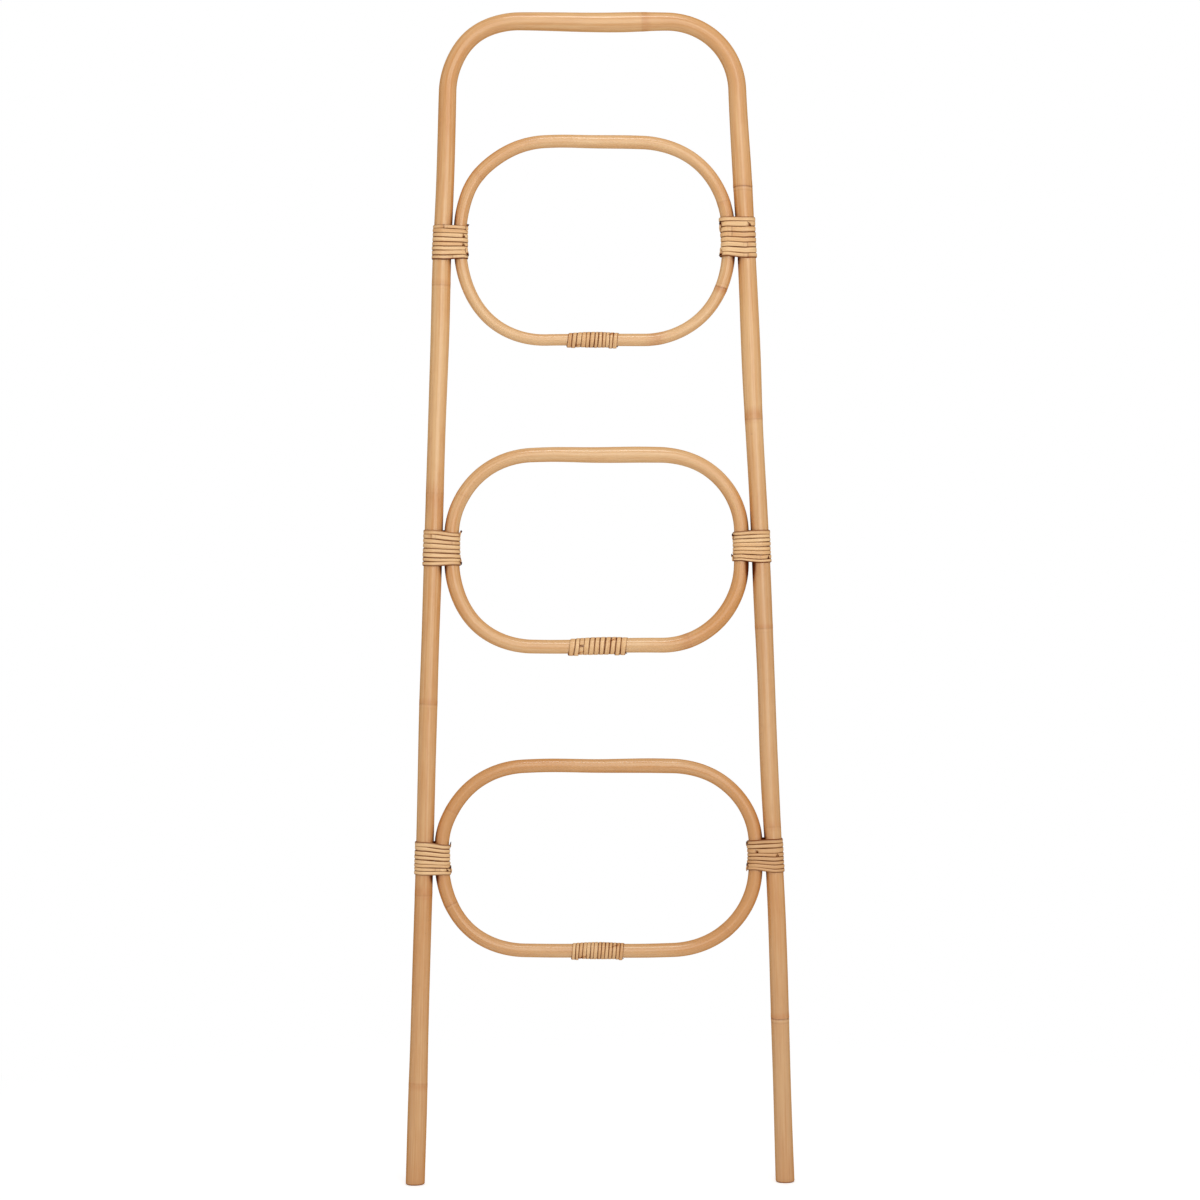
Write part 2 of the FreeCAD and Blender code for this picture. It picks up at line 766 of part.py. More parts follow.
def check_and_write(nodes):
    document.recompute()
    for item in document.Objects:
        if "Invalid" in item.State or "Error" in item.State:
            raise RuntimeError(f"{item.Label} failed: {item.State}")
    for node in nodes:
        if node.Shape.isNull() or not node.Shape.isValid() or not node.Shape.Volume > 0:
            raise RuntimeError(f"{node.Label} has no valid shape")
    os.makedirs("parts", exist_ok=True)
    for node in nodes:
        node.Shape.exportStep(f"parts/{node.Label}.step")


check_and_write(make_stand())
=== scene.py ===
import json
import math
import random
from collections import namedtuple

import bpy
import numpy as np
from mathutils import Matrix, Vector


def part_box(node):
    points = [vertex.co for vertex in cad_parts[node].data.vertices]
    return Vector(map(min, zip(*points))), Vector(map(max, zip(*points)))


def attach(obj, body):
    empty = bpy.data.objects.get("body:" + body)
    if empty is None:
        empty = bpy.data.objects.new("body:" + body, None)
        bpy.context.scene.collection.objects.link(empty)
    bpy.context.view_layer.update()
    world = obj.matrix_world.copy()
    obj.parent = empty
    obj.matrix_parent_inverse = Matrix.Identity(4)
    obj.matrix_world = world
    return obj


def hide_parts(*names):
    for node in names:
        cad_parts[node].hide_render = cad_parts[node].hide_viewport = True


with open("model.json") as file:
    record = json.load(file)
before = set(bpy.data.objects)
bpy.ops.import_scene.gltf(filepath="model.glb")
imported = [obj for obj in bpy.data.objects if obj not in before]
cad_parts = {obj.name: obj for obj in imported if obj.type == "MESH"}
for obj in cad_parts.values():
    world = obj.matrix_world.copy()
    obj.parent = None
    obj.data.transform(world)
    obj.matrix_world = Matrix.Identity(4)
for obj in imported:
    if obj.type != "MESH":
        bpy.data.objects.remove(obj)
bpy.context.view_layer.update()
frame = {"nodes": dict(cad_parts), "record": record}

MM = 0.001
LEVELS = ("upper", "middle", "lower")
SIDES = {"left": -1, "right": 1}

# The pole, from its foot mounts and its box
FOOT_REACH = next(mount["pos_m"][0] for mount in frame["record"]["mounts"] if mount["name"] == "right_foot")
POLE_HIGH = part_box("frame_pole")[1]
POLE_RADIUS = POLE_HIGH.y
BAR_RISE = POLE_HIGH.z - POLE_RADIUS
SHOULDER_REACH = 207.6 * MM
SHOULDER_BEND = 104 * MM
FOOT_ROUNDING = 3 * MM
LEG_HEADING = math.atan2(BAR_RISE, FOOT_REACH - SHOULDER_REACH)
LEAN = 1 / math.sin(LEG_HEADING)

# The rings and what binds them, with how far above and below its middle a ring lies beside the legs
RING_BEND = {"upper": 124 * MM, "middle": 117 * MM, "lower": 120 * MM}
LASHED_REACH = 78 * MM
SPLICE_SWELL = 0.8 * MM
SCARF_LENGTH = 56 * MM
SCARF_GAP = 0.3 * MM
PEEL_SEAT = 0.12 * MM

# How finely the rods and peels are meshed
ROD_STEP = 4 * MM
ROD_SIDES = 36
PEEL_STEP = 1.8 * MM
CROWN_SHARES = (1, 0.95, 0.84, 0.6, 0.3, 0, -0.3, -0.6, -0.84, -0.95, -1)
FLAT_SHARE = 0.97
SECTION_SHARES = (*CROWN_SHARES, -FLAT_SHARE, FLAT_SHARE)


# Lines and curves


def smooth_line(stops):
    """A smooth curve through given (place, value) stops."""
    places, values = np.array(sorted(stops), float).T
    slopes = np.gradient(values, places)

    def at(place):
        place = np.clip(place, places[0], places[-1])
        first = np.clip(np.searchsorted(places, place) - 1, 0, len(places) - 2)
        gap = places[first + 1] - places[first]
        share = (place - places[first]) / gap
        start_weight = (1 + 2 * share) * (1 - share) ** 2
        rise = share * (1 - share) ** 2 * slopes[first] + share ** 2 * (share - 1) * slopes[first + 1]
        return start_weight * values[first] + (1 - start_weight) * values[first + 1] + gap * rise

    return at


def ramp(value, low, high):
    """0 at low, 1 at high and a smooth climb between, whichever of the two is larger."""
    share = np.clip((value - low) / (high - low), 0, 1)
    return share * share * (3 - 2 * share)


def bell(value, width):
    return np.exp(-(value / width) ** 2)


class Route:
    """A line of straight runs and arcs in the stand's upright plane, measured along its length."""

    def __init__(self, start, heading):
        self.place = np.array(start, float)
        self.heading = heading
        self.length = 0.0
        self.runs = []

    def run(self, length, turn=0.0):
        """Go on for a length while the heading turns by an angle."""
        self.runs.append((self.length, self.place, self.heading, turn / length))
        places, headings = self.follow(self.runs[-1], np.array([length]))
        self.place, self.heading = places[0], headings[0]
        self.length += length

    @staticmethod
    def follow(run, travel):
        start, place, heading, bend = run
        if not bend:
            offset = np.stack([np.cos(heading) * travel, np.sin(heading) * travel], 1)
            return place + offset, np.full(len(travel), heading)
        ahead = heading + bend * travel
        offset = np.stack([np.sin(ahead) - np.sin(heading), np.cos(heading) - np.cos(ahead)], 1)
        return place + offset / bend, ahead

    def at(self, distances):
        """Places and headings at distances along the line."""
        starts = np.array([run[0] for run in self.runs])
        owner = np.clip(np.searchsorted(starts, distances, side="right") - 1, 0, None)
        places = np.empty((len(distances), 2))
        headings = np.empty(len(distances))
        for index, run in enumerate(self.runs):
            mine = owner == index
            places[mine], headings[mine] = self.follow(run, distances[mine] - run[0])
        return places, headings


# Meshes


class Skin:
    """The faces of one piece, gathered tube by tube, with what its finish needs to know at each point."""

    MARKS = ("node_gap", "node_mark", "warm", "deep", "dull", "stain", "cut")
    FAR = 1.0
    SMOOTH_ANGLE = math.radians(40)
    ROW_MARGIN = 0.02
    CAP_ROOM = 0.04
    CAP_FILL = 0.45

    def __init__(self):
        self.points = []
        self.grain = []
        self.marks = {mark: [] for mark in self.MARKS}
        self.faces = []
        self.strips = []
        self.caps = []
        self.length = 0.0
        self.girth = 0.0

    def tube(self, rings, grain, **marks):
        """A tube through rings of points, with its ends closed."""
        count, around = rings.shape[:2]
        base = len(self.points)
        self.points.extend(rings.reshape(-1, 3).tolist())
        self.grain.extend(grain.reshape(-1, 3).tolist())
        marks = {"node_gap": self.FAR, **marks}
        for mark in self.MARKS:
            values = np.broadcast_to(marks.get(mark, 0.0), (count, around))
            self.marks[mark].extend(values.ravel().tolist())
        steps = np.linalg.norm(np.diff(rings, axis=0), axis=2).mean(1)
        self.girth = max(self.girth, np.linalg.norm(np.diff(rings[count // 2], axis=0), axis=1).sum())
        for ring in range(count - 1):
            near = base + ring * around
            far = near + around
            for side in range(around):
                after = (side + 1) % around
                self.faces.append((near + side, far + side, far + after, near + after))
                self.strips.append((self.length, steps[ring], side / around, 1 / around))
            self.length += steps[ring]
        last = base + (count - 1) * around
        self.caps.append(tuple(range(base, base + around)))
        self.caps.append(tuple(range(last + around - 1, last - 1, -1)))

    def unwrapped(self):
        """The faces laid out in rows of one length of tube each, and the caps in a row above them."""
        rows = max(1, round(math.sqrt(self.length / self.girth)))
        starts, steps, sides, wide = np.array(self.strips).T
        row_length = self.length / rows
        row = np.minimum((starts / row_length).astype(int), rows - 1)
        reach = row_length + steps.max()
        left = (starts - row * row_length) / reach
        right = left + steps / reach
        row_height = (1 - self.CAP_ROOM) / rows
        fill = 1 - 2 * self.ROW_MARGIN
        low = (row + self.ROW_MARGIN + fill * sides) * row_height
        high = low + fill * wide * row_height
        corners = np.stack([left, low, right, low, right, high, left, high], 1).reshape(-1, 2)
        cap_corners = []
        for index, cap in enumerate(self.caps):
            angles = np.arange(len(cap)) * 2 * np.pi / len(cap)
            middle = np.array([(index + 0.5) / len(self.caps), 1 - self.CAP_ROOM / 2])
            size = self.CAP_FILL * np.array([min(1 / len(self.caps), self.CAP_ROOM), self.CAP_ROOM])
            cap_corners.append(middle + size * np.stack([np.cos(angles), np.sin(angles)], 1))
        return np.concatenate([corners, *cap_corners])

    def build(self, name, finish):
        mesh = bpy.data.meshes.new(name)
        mesh.from_pydata(self.points, [], self.faces + self.caps)
        layout = mesh.uv_layers.new(name="OFBake")
        layout.uv.foreach_set("vector", self.unwrapped().astype(np.float32).ravel())
        grain = mesh.attributes.new("grain", "FLOAT_VECTOR", "POINT")
        grain.data.foreach_set("vector", np.array(self.grain, np.float32).ravel())
        for mark, values in self.marks.items():
            layer = mesh.attributes.new(mark, "FLOAT", "POINT")
            layer.data.foreach_set("value", np.array(values, np.float32))
        mesh.shade_smooth()
        mesh.set_sharp_from_angle(angle=self.SMOOTH_ANGLE)
        mesh.materials.append(finish)
        piece = bpy.data.objects.new(name, mesh)
        bpy.context.scene.collection.objects.link(piece)
        return piece


# Rods of rattan


# Where a node lies along its rod, how dark its line is, how orange the stain beside it is, how many
# millimetres that stain reaches, and which way along the rod it lies
Node = namedtuple("Node", "place line warm reach way")


class Rod:
    """A rattan rod that follows a route, with its own drift from it, its girth, its colour and its nodes."""

    PLANED = 0.985
    OVAL = 0.012
    OVAL_TWIST = 3
    NODE_STEPS = (-7, -5, -3.8, -2.8, -2.1, -1.5, -1, -0.6, -0.2, 0.2, 0.6, 1, 1.5, 2.1, 2.8, 3.8, 5, 7)
    NODE_ROOM = 0.6 * ROD_STEP
    NODE_TURN = 1.9
    RIDGE = 0.45 * MM
    RIDGE_PLACE = 1.5 * MM
    RIDGE_WIDTH = 5 * MM
    FAINT_RIDGE_SHARE = 0.25
    GROOVE = 0.4 * MM
    GROOVE_WIDTH = 0.9 * MM
    FADE_POWER = 4
    LEAST_WAVE = 0.3 * MM
    LINE_WAVE = 0.8 * MM
    SECOND_WAVE_SHARE = 0.6
    SECOND_WAVE_TURN = 1.3
    STAIN_LEAD = 1 * MM
    STAIN_TURN = 2.3
    STAIN_WAVE_SHARE = 0.1
    STAIN_SOFT_SHARE = 0.4
    STAIN_RISE_SHARE = 0.3
    STAIN_FALL_SHARE = 0.2

    def __init__(self, route, radius, drift, girth, deep, dull, nodes, seed):
        self.route = route
        self.radius = radius
        self.drift = smooth_line(drift)
        self.girth = smooth_line([(place, share * self.PLANED) for place, share in girth])
        self.deep = smooth_line(deep)
        self.dull = smooth_line(dull)
        self.nodes = nodes
        self.seed = seed
        self.along = self.stations()
        self.centres, self.outward = self.line(self.along)
        self.girths = self.radius * self.girth(self.along)

    def stations(self):
        """Distances along the rod, close together at its nodes."""
        plain = np.linspace(0, self.route.length, math.ceil(self.route.length / ROD_STEP) + 1)
        fine = np.concatenate([node.place + np.array(self.NODE_STEPS) * MM for node in self.nodes])
        far = np.array([np.abs(fine - place).min() > self.NODE_ROOM for place in plain])
        far[[0, -1]] = True
        return np.sort(np.concatenate([plain[far], fine]))

    def line(self, along):
        """Centres and outward directions in the upright plane."""
        places, headings = self.route.at(along)
        outward = np.stack([-np.sin(headings), np.cos(headings)], 1)
        return places + outward * self.drift(along)[:, None] * MM, outward

    def node_reach(self, along, angles):
        """Distances past the nearest node's wavy line, on its stained side, and how dark that line is."""
        gaps = np.stack([(along - node.place) * node.way for node in self.nodes])
        nearest = np.abs(gaps).argmin(0)
        lines = np.array([node.line for node in self.nodes])[nearest]
        turn = (nearest * self.NODE_TURN + self.seed)[:, None]
        second = np.sin(2 * angles - self.SECOND_WAVE_TURN * turn)
        wave = np.sin(angles + turn) + self.SECOND_WAVE_SHARE * second
        gap = gaps[nearest, np.arange(len(along))]
        return gap[:, None] + (self.LEAST_WAVE + self.LINE_WAVE * lines[:, None]) * wave, lines

    def warmth(self, along, angles):
        """How orange the stain beside the nodes is, with a soft border where a node has no clear line."""
        warm = np.zeros((len(along), len(angles)))
        for index, node in enumerate(self.nodes):
            reach = node.reach * MM
            soft = self.STAIN_SOFT_SHARE * reach * (1 - node.line)
            wave = self.STAIN_WAVE_SHARE * reach * np.sin(angles + self.STAIN_TURN * index + self.seed)
            gap = (along[:, None] - node.place) * node.way + wave
            begun = ramp(gap, -soft - self.STAIN_LEAD, self.STAIN_RISE_SHARE * soft)
            left = ramp(gap, reach, self.STAIN_FALL_SHARE * reach)
            warm = np.maximum(warm, node.warm * begun * left)
        return warm

    def rings(self, along, centres, outward, girths):
        """Rings of points round the centreline, the same points on the rod made straight, and their marks."""
        angles = np.arange(ROD_SIDES) * 2 * np.pi / ROD_SIDES
        reach, line = self.node_reach(along, angles)
        clear = line[:, None]
        faint = self.FAINT_RIDGE_SHARE
        ridge = self.RIDGE * (faint + (1 - faint) * clear) * bell(reach - self.RIDGE_PLACE, self.RIDGE_WIDTH)
        groove = self.GROOVE * clear * bell(reach, self.GROOVE_WIDTH)
        oval = self.OVAL * np.cos(2 * angles + self.OVAL_TWIST * along[:, None] + self.seed)
        whole = np.minimum(1, girths / self.radius)[:, None] ** self.FADE_POWER
        radius = girths[:, None] * (1 + oval) + whole * (ridge - groove)
        sideways = radius * np.cos(angles)
        depth = radius * np.sin(angles)
        flat = centres[:, None, :] + outward[:, None, :] * sideways[:, :, None]
        points = np.stack([flat[:, :, 0], depth, flat[:, :, 1]], 2)
        lengths = np.broadcast_to(along[:, None] + self.seed, depth.shape)
        grain = np.stack([lengths, sideways, depth], 2)
        marks = dict(node_gap=reach, node_mark=clear, warm=self.warmth(along, angles),
                     deep=self.deep(along)[:, None], dull=self.dull(along)[:, None])
        return points, grain, marks

    def section(self, heights, side, near):
        """Where the upright stretch on one side crosses heights: distance from the middle, and radius."""
        on_side = np.sign(self.centres[:, 0]) == side
        upright = on_side & (np.abs(self.centres[:, 1] - near) < LASHED_REACH)
        order = np.argsort(self.centres[upright, 1])
        rise = self.centres[upright, 1][order]
        reach = np.abs(self.centres[upright, 0])[order]
        return np.interp(heights, rise, reach), np.interp(heights, rise, self.girths[upright][order])


def pole_route():
    """From the left foot up, over both shoulders and down to the right foot."""
    tangent = SHOULDER_BEND * math.tan(LEG_HEADING / 2)
    leg = BAR_RISE * LEAN - tangent
    route = Route((-FOOT_REACH, 0), LEG_HEADING)
    route.run(leg)
    route.run(SHOULDER_BEND * LEG_HEADING, -LEG_HEADING)
    route.run(2 * (SHOULDER_REACH - tangent))
    route.run(SHOULDER_BEND * LEG_HEADING, -LEG_HEADING)
    route.run(leg)
    return route


POLE_ROUTE = pole_route()


def pole_place(stretch, place):
    """The distance along the pole to a height on a leg, an angle round a shoulder from its leg, or a place
    right of the middle of the bar, in millimetres or degrees."""
    if stretch == "bar":
        return POLE_ROUTE.length / 2 + place * MM
    if stretch in SIDES:
        from_foot = place * MM * LEAN
    else:
        from_foot = POLE_ROUTE.runs[1][0] + SHOULDER_BEND * math.radians(place)
    return from_foot if stretch.startswith("left") else POLE_ROUTE.length - from_foot


def pole_stops(**tables):
    """Distances along the pole, each with its value, from a table of places on each stretch."""
    return [(pole_place(stretch, place), value)
            for stretch, table in tables.items() for place, value in table.items()]


# Millimetres outward from the route, where the hand-bent pole leaves it
POLE_DRIFT = pole_stops(
    left={0: -0.6, 140: -0.5, 300: 0, 450: -0.1, 700: 1.2, 900: 0.8, 1100: 1.0, 1230: 0.4, 1340: 0.9,
          1460: -0.5, 1560: -0.2},
    left_bend={20: 0.4, 50: 2.7, 78: 1.0}, bar={-100: 0.8, 25: -1.7, 100: -0.9},
    right_bend={80: -1.2, 50: -1.4},
    right={1570: -2.5, 1460: -0.8, 1290: 0.9, 1220: 0.8, 1110: 0.6, 980: 2.0, 820: 2.2, 740: 2.2, 620: 1.1,
           380: 2.7, 200: 0.4, 60: -1.4, 0: -2.0})
# Its radius there as a share of the even one
POLE_GIRTH = pole_stops(
    left={0: 1.03, 120: 1.04, 200: 0.985, 330: 0.97, 450: 0.965, 600: 0.975, 690: 1.0, 770: 0.975, 900: 1.0,
          1080: 0.96, 1280: 1.015, 1410: 0.97, 1560: 0.95},
    left_bend={50: 0.91}, bar={-100: 0.955, 0: 1.03, 55: 1.045, 100: 0.965}, right_bend={50: 0.945},
    right={1570: 0.975, 1450: 1.04, 1350: 0.995, 1170: 1.045, 1110: 0.985, 1040: 0.96, 840: 1.0, 750: 0.955,
           570: 0.98, 510: 0.945, 440: 0.95, 250: 0.975, 150: 0.955, 0: 1.01})
# How deep its colour is, from pale straw to orange
POLE_DEEP = pole_stops(
    left={0: 1.1, 40: 0.75, 300: 0.7, 390: 0.85, 560: 0.6, 700: 0.5, 860: 0.5, 990: 0.5, 1100: 0.2,
          1220: 0.15, 1330: 0.4, 1460: 0.5, 1560: 0.7},
    left_bend={50: 0.5}, bar={-80: 0.35, 0: 0.2, 60: 0.2, 110: 0.4}, right_bend={50: 0.55},
    right={1560: 0.55, 1460: 0.5, 1420: 0.7, 1330: 0.45, 1220: 0.25, 1050: 0.2, 970: 0.4, 620: 0.4,
           500: 0.55, 390: 0.9, 310: 0.5, 40: 0.5, 0: 0.9})
# How dull and dusty it is
POLE_DULL = pole_stops(
    left={0: 0.6, 300: 0.45, 700: 0.2, 1100: 0.0}, bar={0: 0.0},
    right={1100: 0.1, 980: 0.3, 880: 0.6, 720: 0.65, 540: 0.5, 400: 0.4, 300: 0.75, 0: 0.9})
POLE_NODES = [Node(place, *look) for place, look in pole_stops(
    left={147: (0.1, 0.5, 13, -1), 420: (0.15, 0.65, 20, 1), 696: (0.2, 0.6, 10, 1),
          1002: (0.1, 0.55, 50, -1), 1303: (0.2, 0.35, 12, 1)},
    bar={72: (0.1, 0.6, 14, 1)},
    right={1442: (0.6, 0.5, 7, -1), 1106: (0.2, 0.75, 21, -1), 803: (0.2, 0.6, 8, -1),
           515: (0.1, 0.4, 16, -1), 237: (0.7, 0.65, 11, -1)})]

POLE = Rod(POLE_ROUTE, POLE_RADIUS, POLE_DRIFT, POLE_GIRTH, POLE_DEEP, POLE_DULL, POLE_NODES, seed=1.3)


# Millimetres that a ring's line leaves its route by, then its girth, then how deep its colour is, at named
# places along it: those on a corner have their angle from the ring's side
RING_DRIFT = {
    "upper": dict(bottom_left=-0.2, bl_55=0.8, low_left=-2.0, left=-0.4, high_left=-1.6, tl_32=-0.5,
                  tl_56=-1.6, tl_78=-0.4, top_left=1.2, top=0.0, top_right=-0.8, tr_78=-2.4,
                  tr_54=-2.1, high_right=-1.7, right=-0.2, low_right=-1.0, br_50=0.8, br_70=1.0,
                  bottom_right=0.6),
    "middle": dict(bottom_left=2.3, bl_84=1.6, bl_50=1.8, low_left=-1.0, left=0.0, high_left=-0.8, tl_28=-1.6,
                   tl_54=-1.8, tl_80=-1.6, top_left=-0.4, top=-1.6, top_right=-1.5, tr_78=-2.1, tr_54=-0.4,
                   high_right=0.9, right=0.3, low_right=0.2, br_50=1.1, br_70=1.4, bottom_right=0.8),
    "lower": dict(bottom_left=-0.2, bl_84=-1.1, bl_50=-0.3, low_left=-1.5, left=-0.2, high_left=-0.1,
                  tl_26=-1.0, tl_54=-1.1, tl_80=-0.7, top_left=0.9, top=-0.4, top_right=-0.4, tr_80=-1.3,
                  tr_54=0.3, high_right=1.7, right=0.6, low_right=0.5, br_50=-0.1, br_82=-0.4,
                  bottom_right=0.7),
}
RING_GIRTH = {
    "upper": dict(bottom_left=0.88, bl_50=0.895, left=0.98, tl_54=1.01, top_left=0.97, top_right=1.015,
                  tr_54=0.98, right=1.02, br_50=0.91, bottom_right=0.94),
    "middle": dict(bottom_left=0.925, bl_50=0.975, left=1.01, tl_20=0.96, tl_54=0.94, top_left=1.0,
                   top_right=1.09, tr_54=0.98, right=1.0, br_50=1.02, bottom_right=0.985),
    "lower": dict(bottom_left=0.955, bl_50=0.94, left=1.0, tl_54=0.945, top_left=0.945, top=0.955,
                  top_right=1.025, tr_54=0.97, right=0.99, br_50=1.005, bottom_right=0.99),
}
RING_DEEP = {
    "upper": dict(bottom_left=0.15, bl_50=0.15, left=0.5, high_left=0.55, tl_54=0.65, top_left=0.35, top=0.2,
                  top_right=0.15, tr_54=0.2, high_right=0.6, right=0.5, low_right=0.4, br_50=0.15,
                  bottom_right=0.25),
    "middle": dict(bottom_left=0.25, bl_50=0.5, left=0.65, tl_40=0.35, tl_54=0.4, top_left=0.05, top=0.15,
                   top_right=0.2, tr_54=0.35, high_right=0.7, right=0.6, low_right=0.75, br_50=0.8,
                   bottom_right=0.1),
    "lower": dict(bottom_left=0.35, bl_50=0.8, low_left=1.3, left=1.2, high_left=1.3, tl_40=1.1,
                  top_left=0.95, top=0.75, top_right=0.75, tr_54=0.85, high_right=1.2, right=1.2,
                  br_50=1.1, bottom_right=0.4),
}
RING_DULL = {"upper": 0.0, "middle": 0.0, "lower": 0.3}
# Each node by the corner it is on and its angle from the ring's side there
RING_NODES = {
    "upper": [("tl", 38, 0.1, 0.3, 9, 1), ("tr", 17, 0.15, 0.3, 9, 1), ("br", 24, 0.5, 0.9, 12, 1),
              ("br", 79, 0.05, 0.6, 28, 1)],
    "middle": [("tl", 30, 0.1, 0.15, 8, 1), ("br", 70, 0.1, 0.5, 20, 1)],
    "lower": [("bl", 26, 0.3, 0.3, 7, 1), ("tl", 28, 0.12, 0.3, 9, 1), ("br", 49, 0.12, 0.25, 9, 1)],
}


class Ring(Rod):
    """A closed ring of rod, cut with a long scarf where its two ends meet under the splice wrap."""

    CORNER_SHARE = 0.16
    BOTTOM_SHARE = 0.35
    TOP_SHARE = 0.7
    SCARF_ROOM = 1.1 * SCARF_LENGTH

    def __init__(self, level, seed):
        low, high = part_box(f"{level}_ring")
        self.level = level
        self.bend = RING_BEND[level]
        radius = high.y - SPLICE_SWELL
        self.bottom = low.z + high.y
        self.rise = (high.z - radius + self.bottom) / 2
        self.side = self.rise - self.bottom - self.bend
        self.flat = high.x - radius - self.bend
        wrap_low, wrap_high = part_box(f"{level}_splice_wrap")
        self.wrap_half = (wrap_high.x - wrap_low.x) / 2
        route = Route((SCARF_LENGTH / 2, self.bottom), math.pi)
        route.run(SCARF_LENGTH / 2 + self.flat)
        for straight in (2 * self.side, 2 * self.flat, 2 * self.side, self.flat + SCARF_LENGTH / 2):
            route.run(self.bend * math.pi / 2, -math.pi / 2)
            route.run(straight)
        lines = [[(self.named_place(route, name), value) for name, value in table[level].items()]
                 for table in (RING_DRIFT, RING_GIRTH, RING_DEEP)]
        dull = [(0, RING_DULL[level]), (route.length, RING_DULL[level])]
        nodes = [Node(self.corner_place(route, corner, angle), *look)
                 for corner, angle, *look in RING_NODES[level]]
        super().__init__(route, radius, *(self.joined(line, route) for line in lines), dull, nodes, seed)

    def corner_place(self, route, corner, angle):
        """The distance along the ring to an angle from its side, on one of its four corners."""
        travel = self.bend * math.radians(angle)
        left = SCARF_LENGTH / 2 + self.flat + self.bend * math.pi / 2
        ends = {"bl": left - travel, "tl": left + 2 * self.side + travel}
        ends["br"] = route.length - ends["bl"]
        ends["tr"] = route.length - ends["tl"]
        return ends[corner]

    def named_place(self, route, name):
        """The distance along the ring, clockwise from its splice, to a named place."""
        if name[-1].isdigit():
            corner, angle = name.split("_")
            return self.corner_place(route, corner, float(angle))
        quarter = self.bend * math.pi / 2
        first_corner = SCARF_LENGTH / 2 + self.flat
        left = first_corner + quarter + self.side
        top = route.length / 2
        near_bend = self.side + self.CORNER_SHARE * quarter
        places = {
            "bottom_left": first_corner - self.BOTTOM_SHARE * self.flat,
            "low_left": left - near_bend,
            "left": left,
            "high_left": left + near_bend,
            "top_left": top - self.TOP_SHARE * self.flat,
            "top": top,
        }
        if name in places:
            return places[name]
        return route.length - places[name.replace("right", "left")]

    @staticmethod
    def joined(stops, route):
        """The stops, and at both ends a line from one end's value to the other's through the splice."""
        first, last = stops[0][1], stops[-1][1]
        middle = (first + last) / 2
        half = SCARF_LENGTH / 2
        return [(0, last), (half, middle), *stops, (route.length - half, middle), (route.length, first)]

    def splice_line(self, across):
        """The height of the centreline and the radius over the splice, at distances right of the middle."""
        along = np.where(across < 0, SCARF_LENGTH / 2 - across, self.route.length - SCARF_LENGTH / 2 - across)
        centres = self.line(along)[0]
        return centres[:, 1], self.radius * self.girth(along) + self.swell(across)

    def swell(self, across):
        return SPLICE_SWELL * np.clip(1 - (across / self.wrap_half) ** 2, 0, 1)

    def scarfed(self, points, along):
        """The points pressed onto the slanted scarf plane at both ends of the rod."""
        across = points[:, :, 0]
        heights = self.splice_line(across.ravel())[0]
        plane = heights.reshape(across.shape) + 2 * self.radius / SCARF_LENGTH * across
        at_start = (along < self.SCARF_ROOM)[:, None]
        at_end = (along > self.route.length - self.SCARF_ROOM)[:, None]
        rise = points[:, :, 2]
        rise = np.where(at_start, np.maximum(rise, plane + SCARF_GAP / 2), rise)
        points[:, :, 2] = np.where(at_end, np.minimum(rise, plane - SCARF_GAP / 2), rise)
        return points


RINGS = {level: Ring(level, seed) for level, seed in zip(LEVELS, (4.1, 7.7, 11.9))}


# How many millimetres further the brown, painted shade with dirt, comes out of the gap between leg and
# ring, below and above each lashing, and how far up and down it goes from the middle of the ring
CREVICE_SHADE_AND_DIRT = {
    "upper": {"left": (3, 1, 45), "right": (4.5, -1, 45)},
    "middle": {"left": (4, -1, 42), "right": (7, 0, 76)},
    "lower": {"left": (5.5, 0, 42), "right": (2, 1.5, 42)},
}
SHADE_AND_DIRT_CHANGE = 15 * MM
SHADE_AND_DIRT_FULL = 25 * MM
# Painted shade with dirt: gaps between two rods over which their facing sides turn orange and then brown,
# and how much
ORANGE_GAPS = (18 * MM, 6 * MM)
BROWN_GAPS = (8 * MM, 2 * MM)
GAP_SHADE_WARMTH = 0.6
GAP_SHADE_AND_DIRT_STRENGTH = 1.2


def crevice(points, other, ring):
    """How far one rod's points are from another lashed to it, less where painted shade and dirt reach out."""
    nearest = np.full(points.shape[:2], Skin.FAR)
    heights = points[:, :, 2].mean(1)
    from_ring = heights - ring.rise
    near = np.abs(from_ring)[:, None] < LASHED_REACH
    for side, way in SIDES.items():
        reach, radius = other.section(heights, way, ring.rise)
        below, above, fade = CREVICE_SHADE_AND_DIRT[ring.level][side]
        shade_and_dirt = above + (below - above) * ramp(from_ring, SHADE_AND_DIRT_CHANGE, -SHADE_AND_DIRT_CHANGE)
        shade_and_dirt = shade_and_dirt * MM * ramp(np.abs(from_ring), fade * MM, SHADE_AND_DIRT_FULL)
        gap = np.hypot(points[:, :, 0] * way - reach[:, None], points[:, :, 1]) - (radius + shade_and_dirt)[:, None]
        nearest = np.minimum(nearest, np.where(near, gap, Skin.FAR))
    return nearest


def shaded(marks, gap):
    """The marks of a rod, its facing side orange and then brown, painted shade with dirt, near the other rod.
    """
    warm = np.maximum(marks["warm"], GAP_SHADE_WARMTH * ramp(gap, *ORANGE_GAPS))
    return {**marks, "warm": warm, "stain": GAP_SHADE_AND_DIRT_STRENGTH * ramp(gap, *BROWN_GAPS)}


FOOT_FACE_SHARES = (0.03, 0.3, 0.6, 0.85)
FOOT_RIM_STEPS = 6
FOOT_RIM_DARKENING = 0.55
FOOT_RIM_REACH = (3.4 * MM, 0.8 * MM)
FOOT_CUT_STEPS = len(FOOT_FACE_SHARES) + 2
LEVEL_REACH = 60 * MM


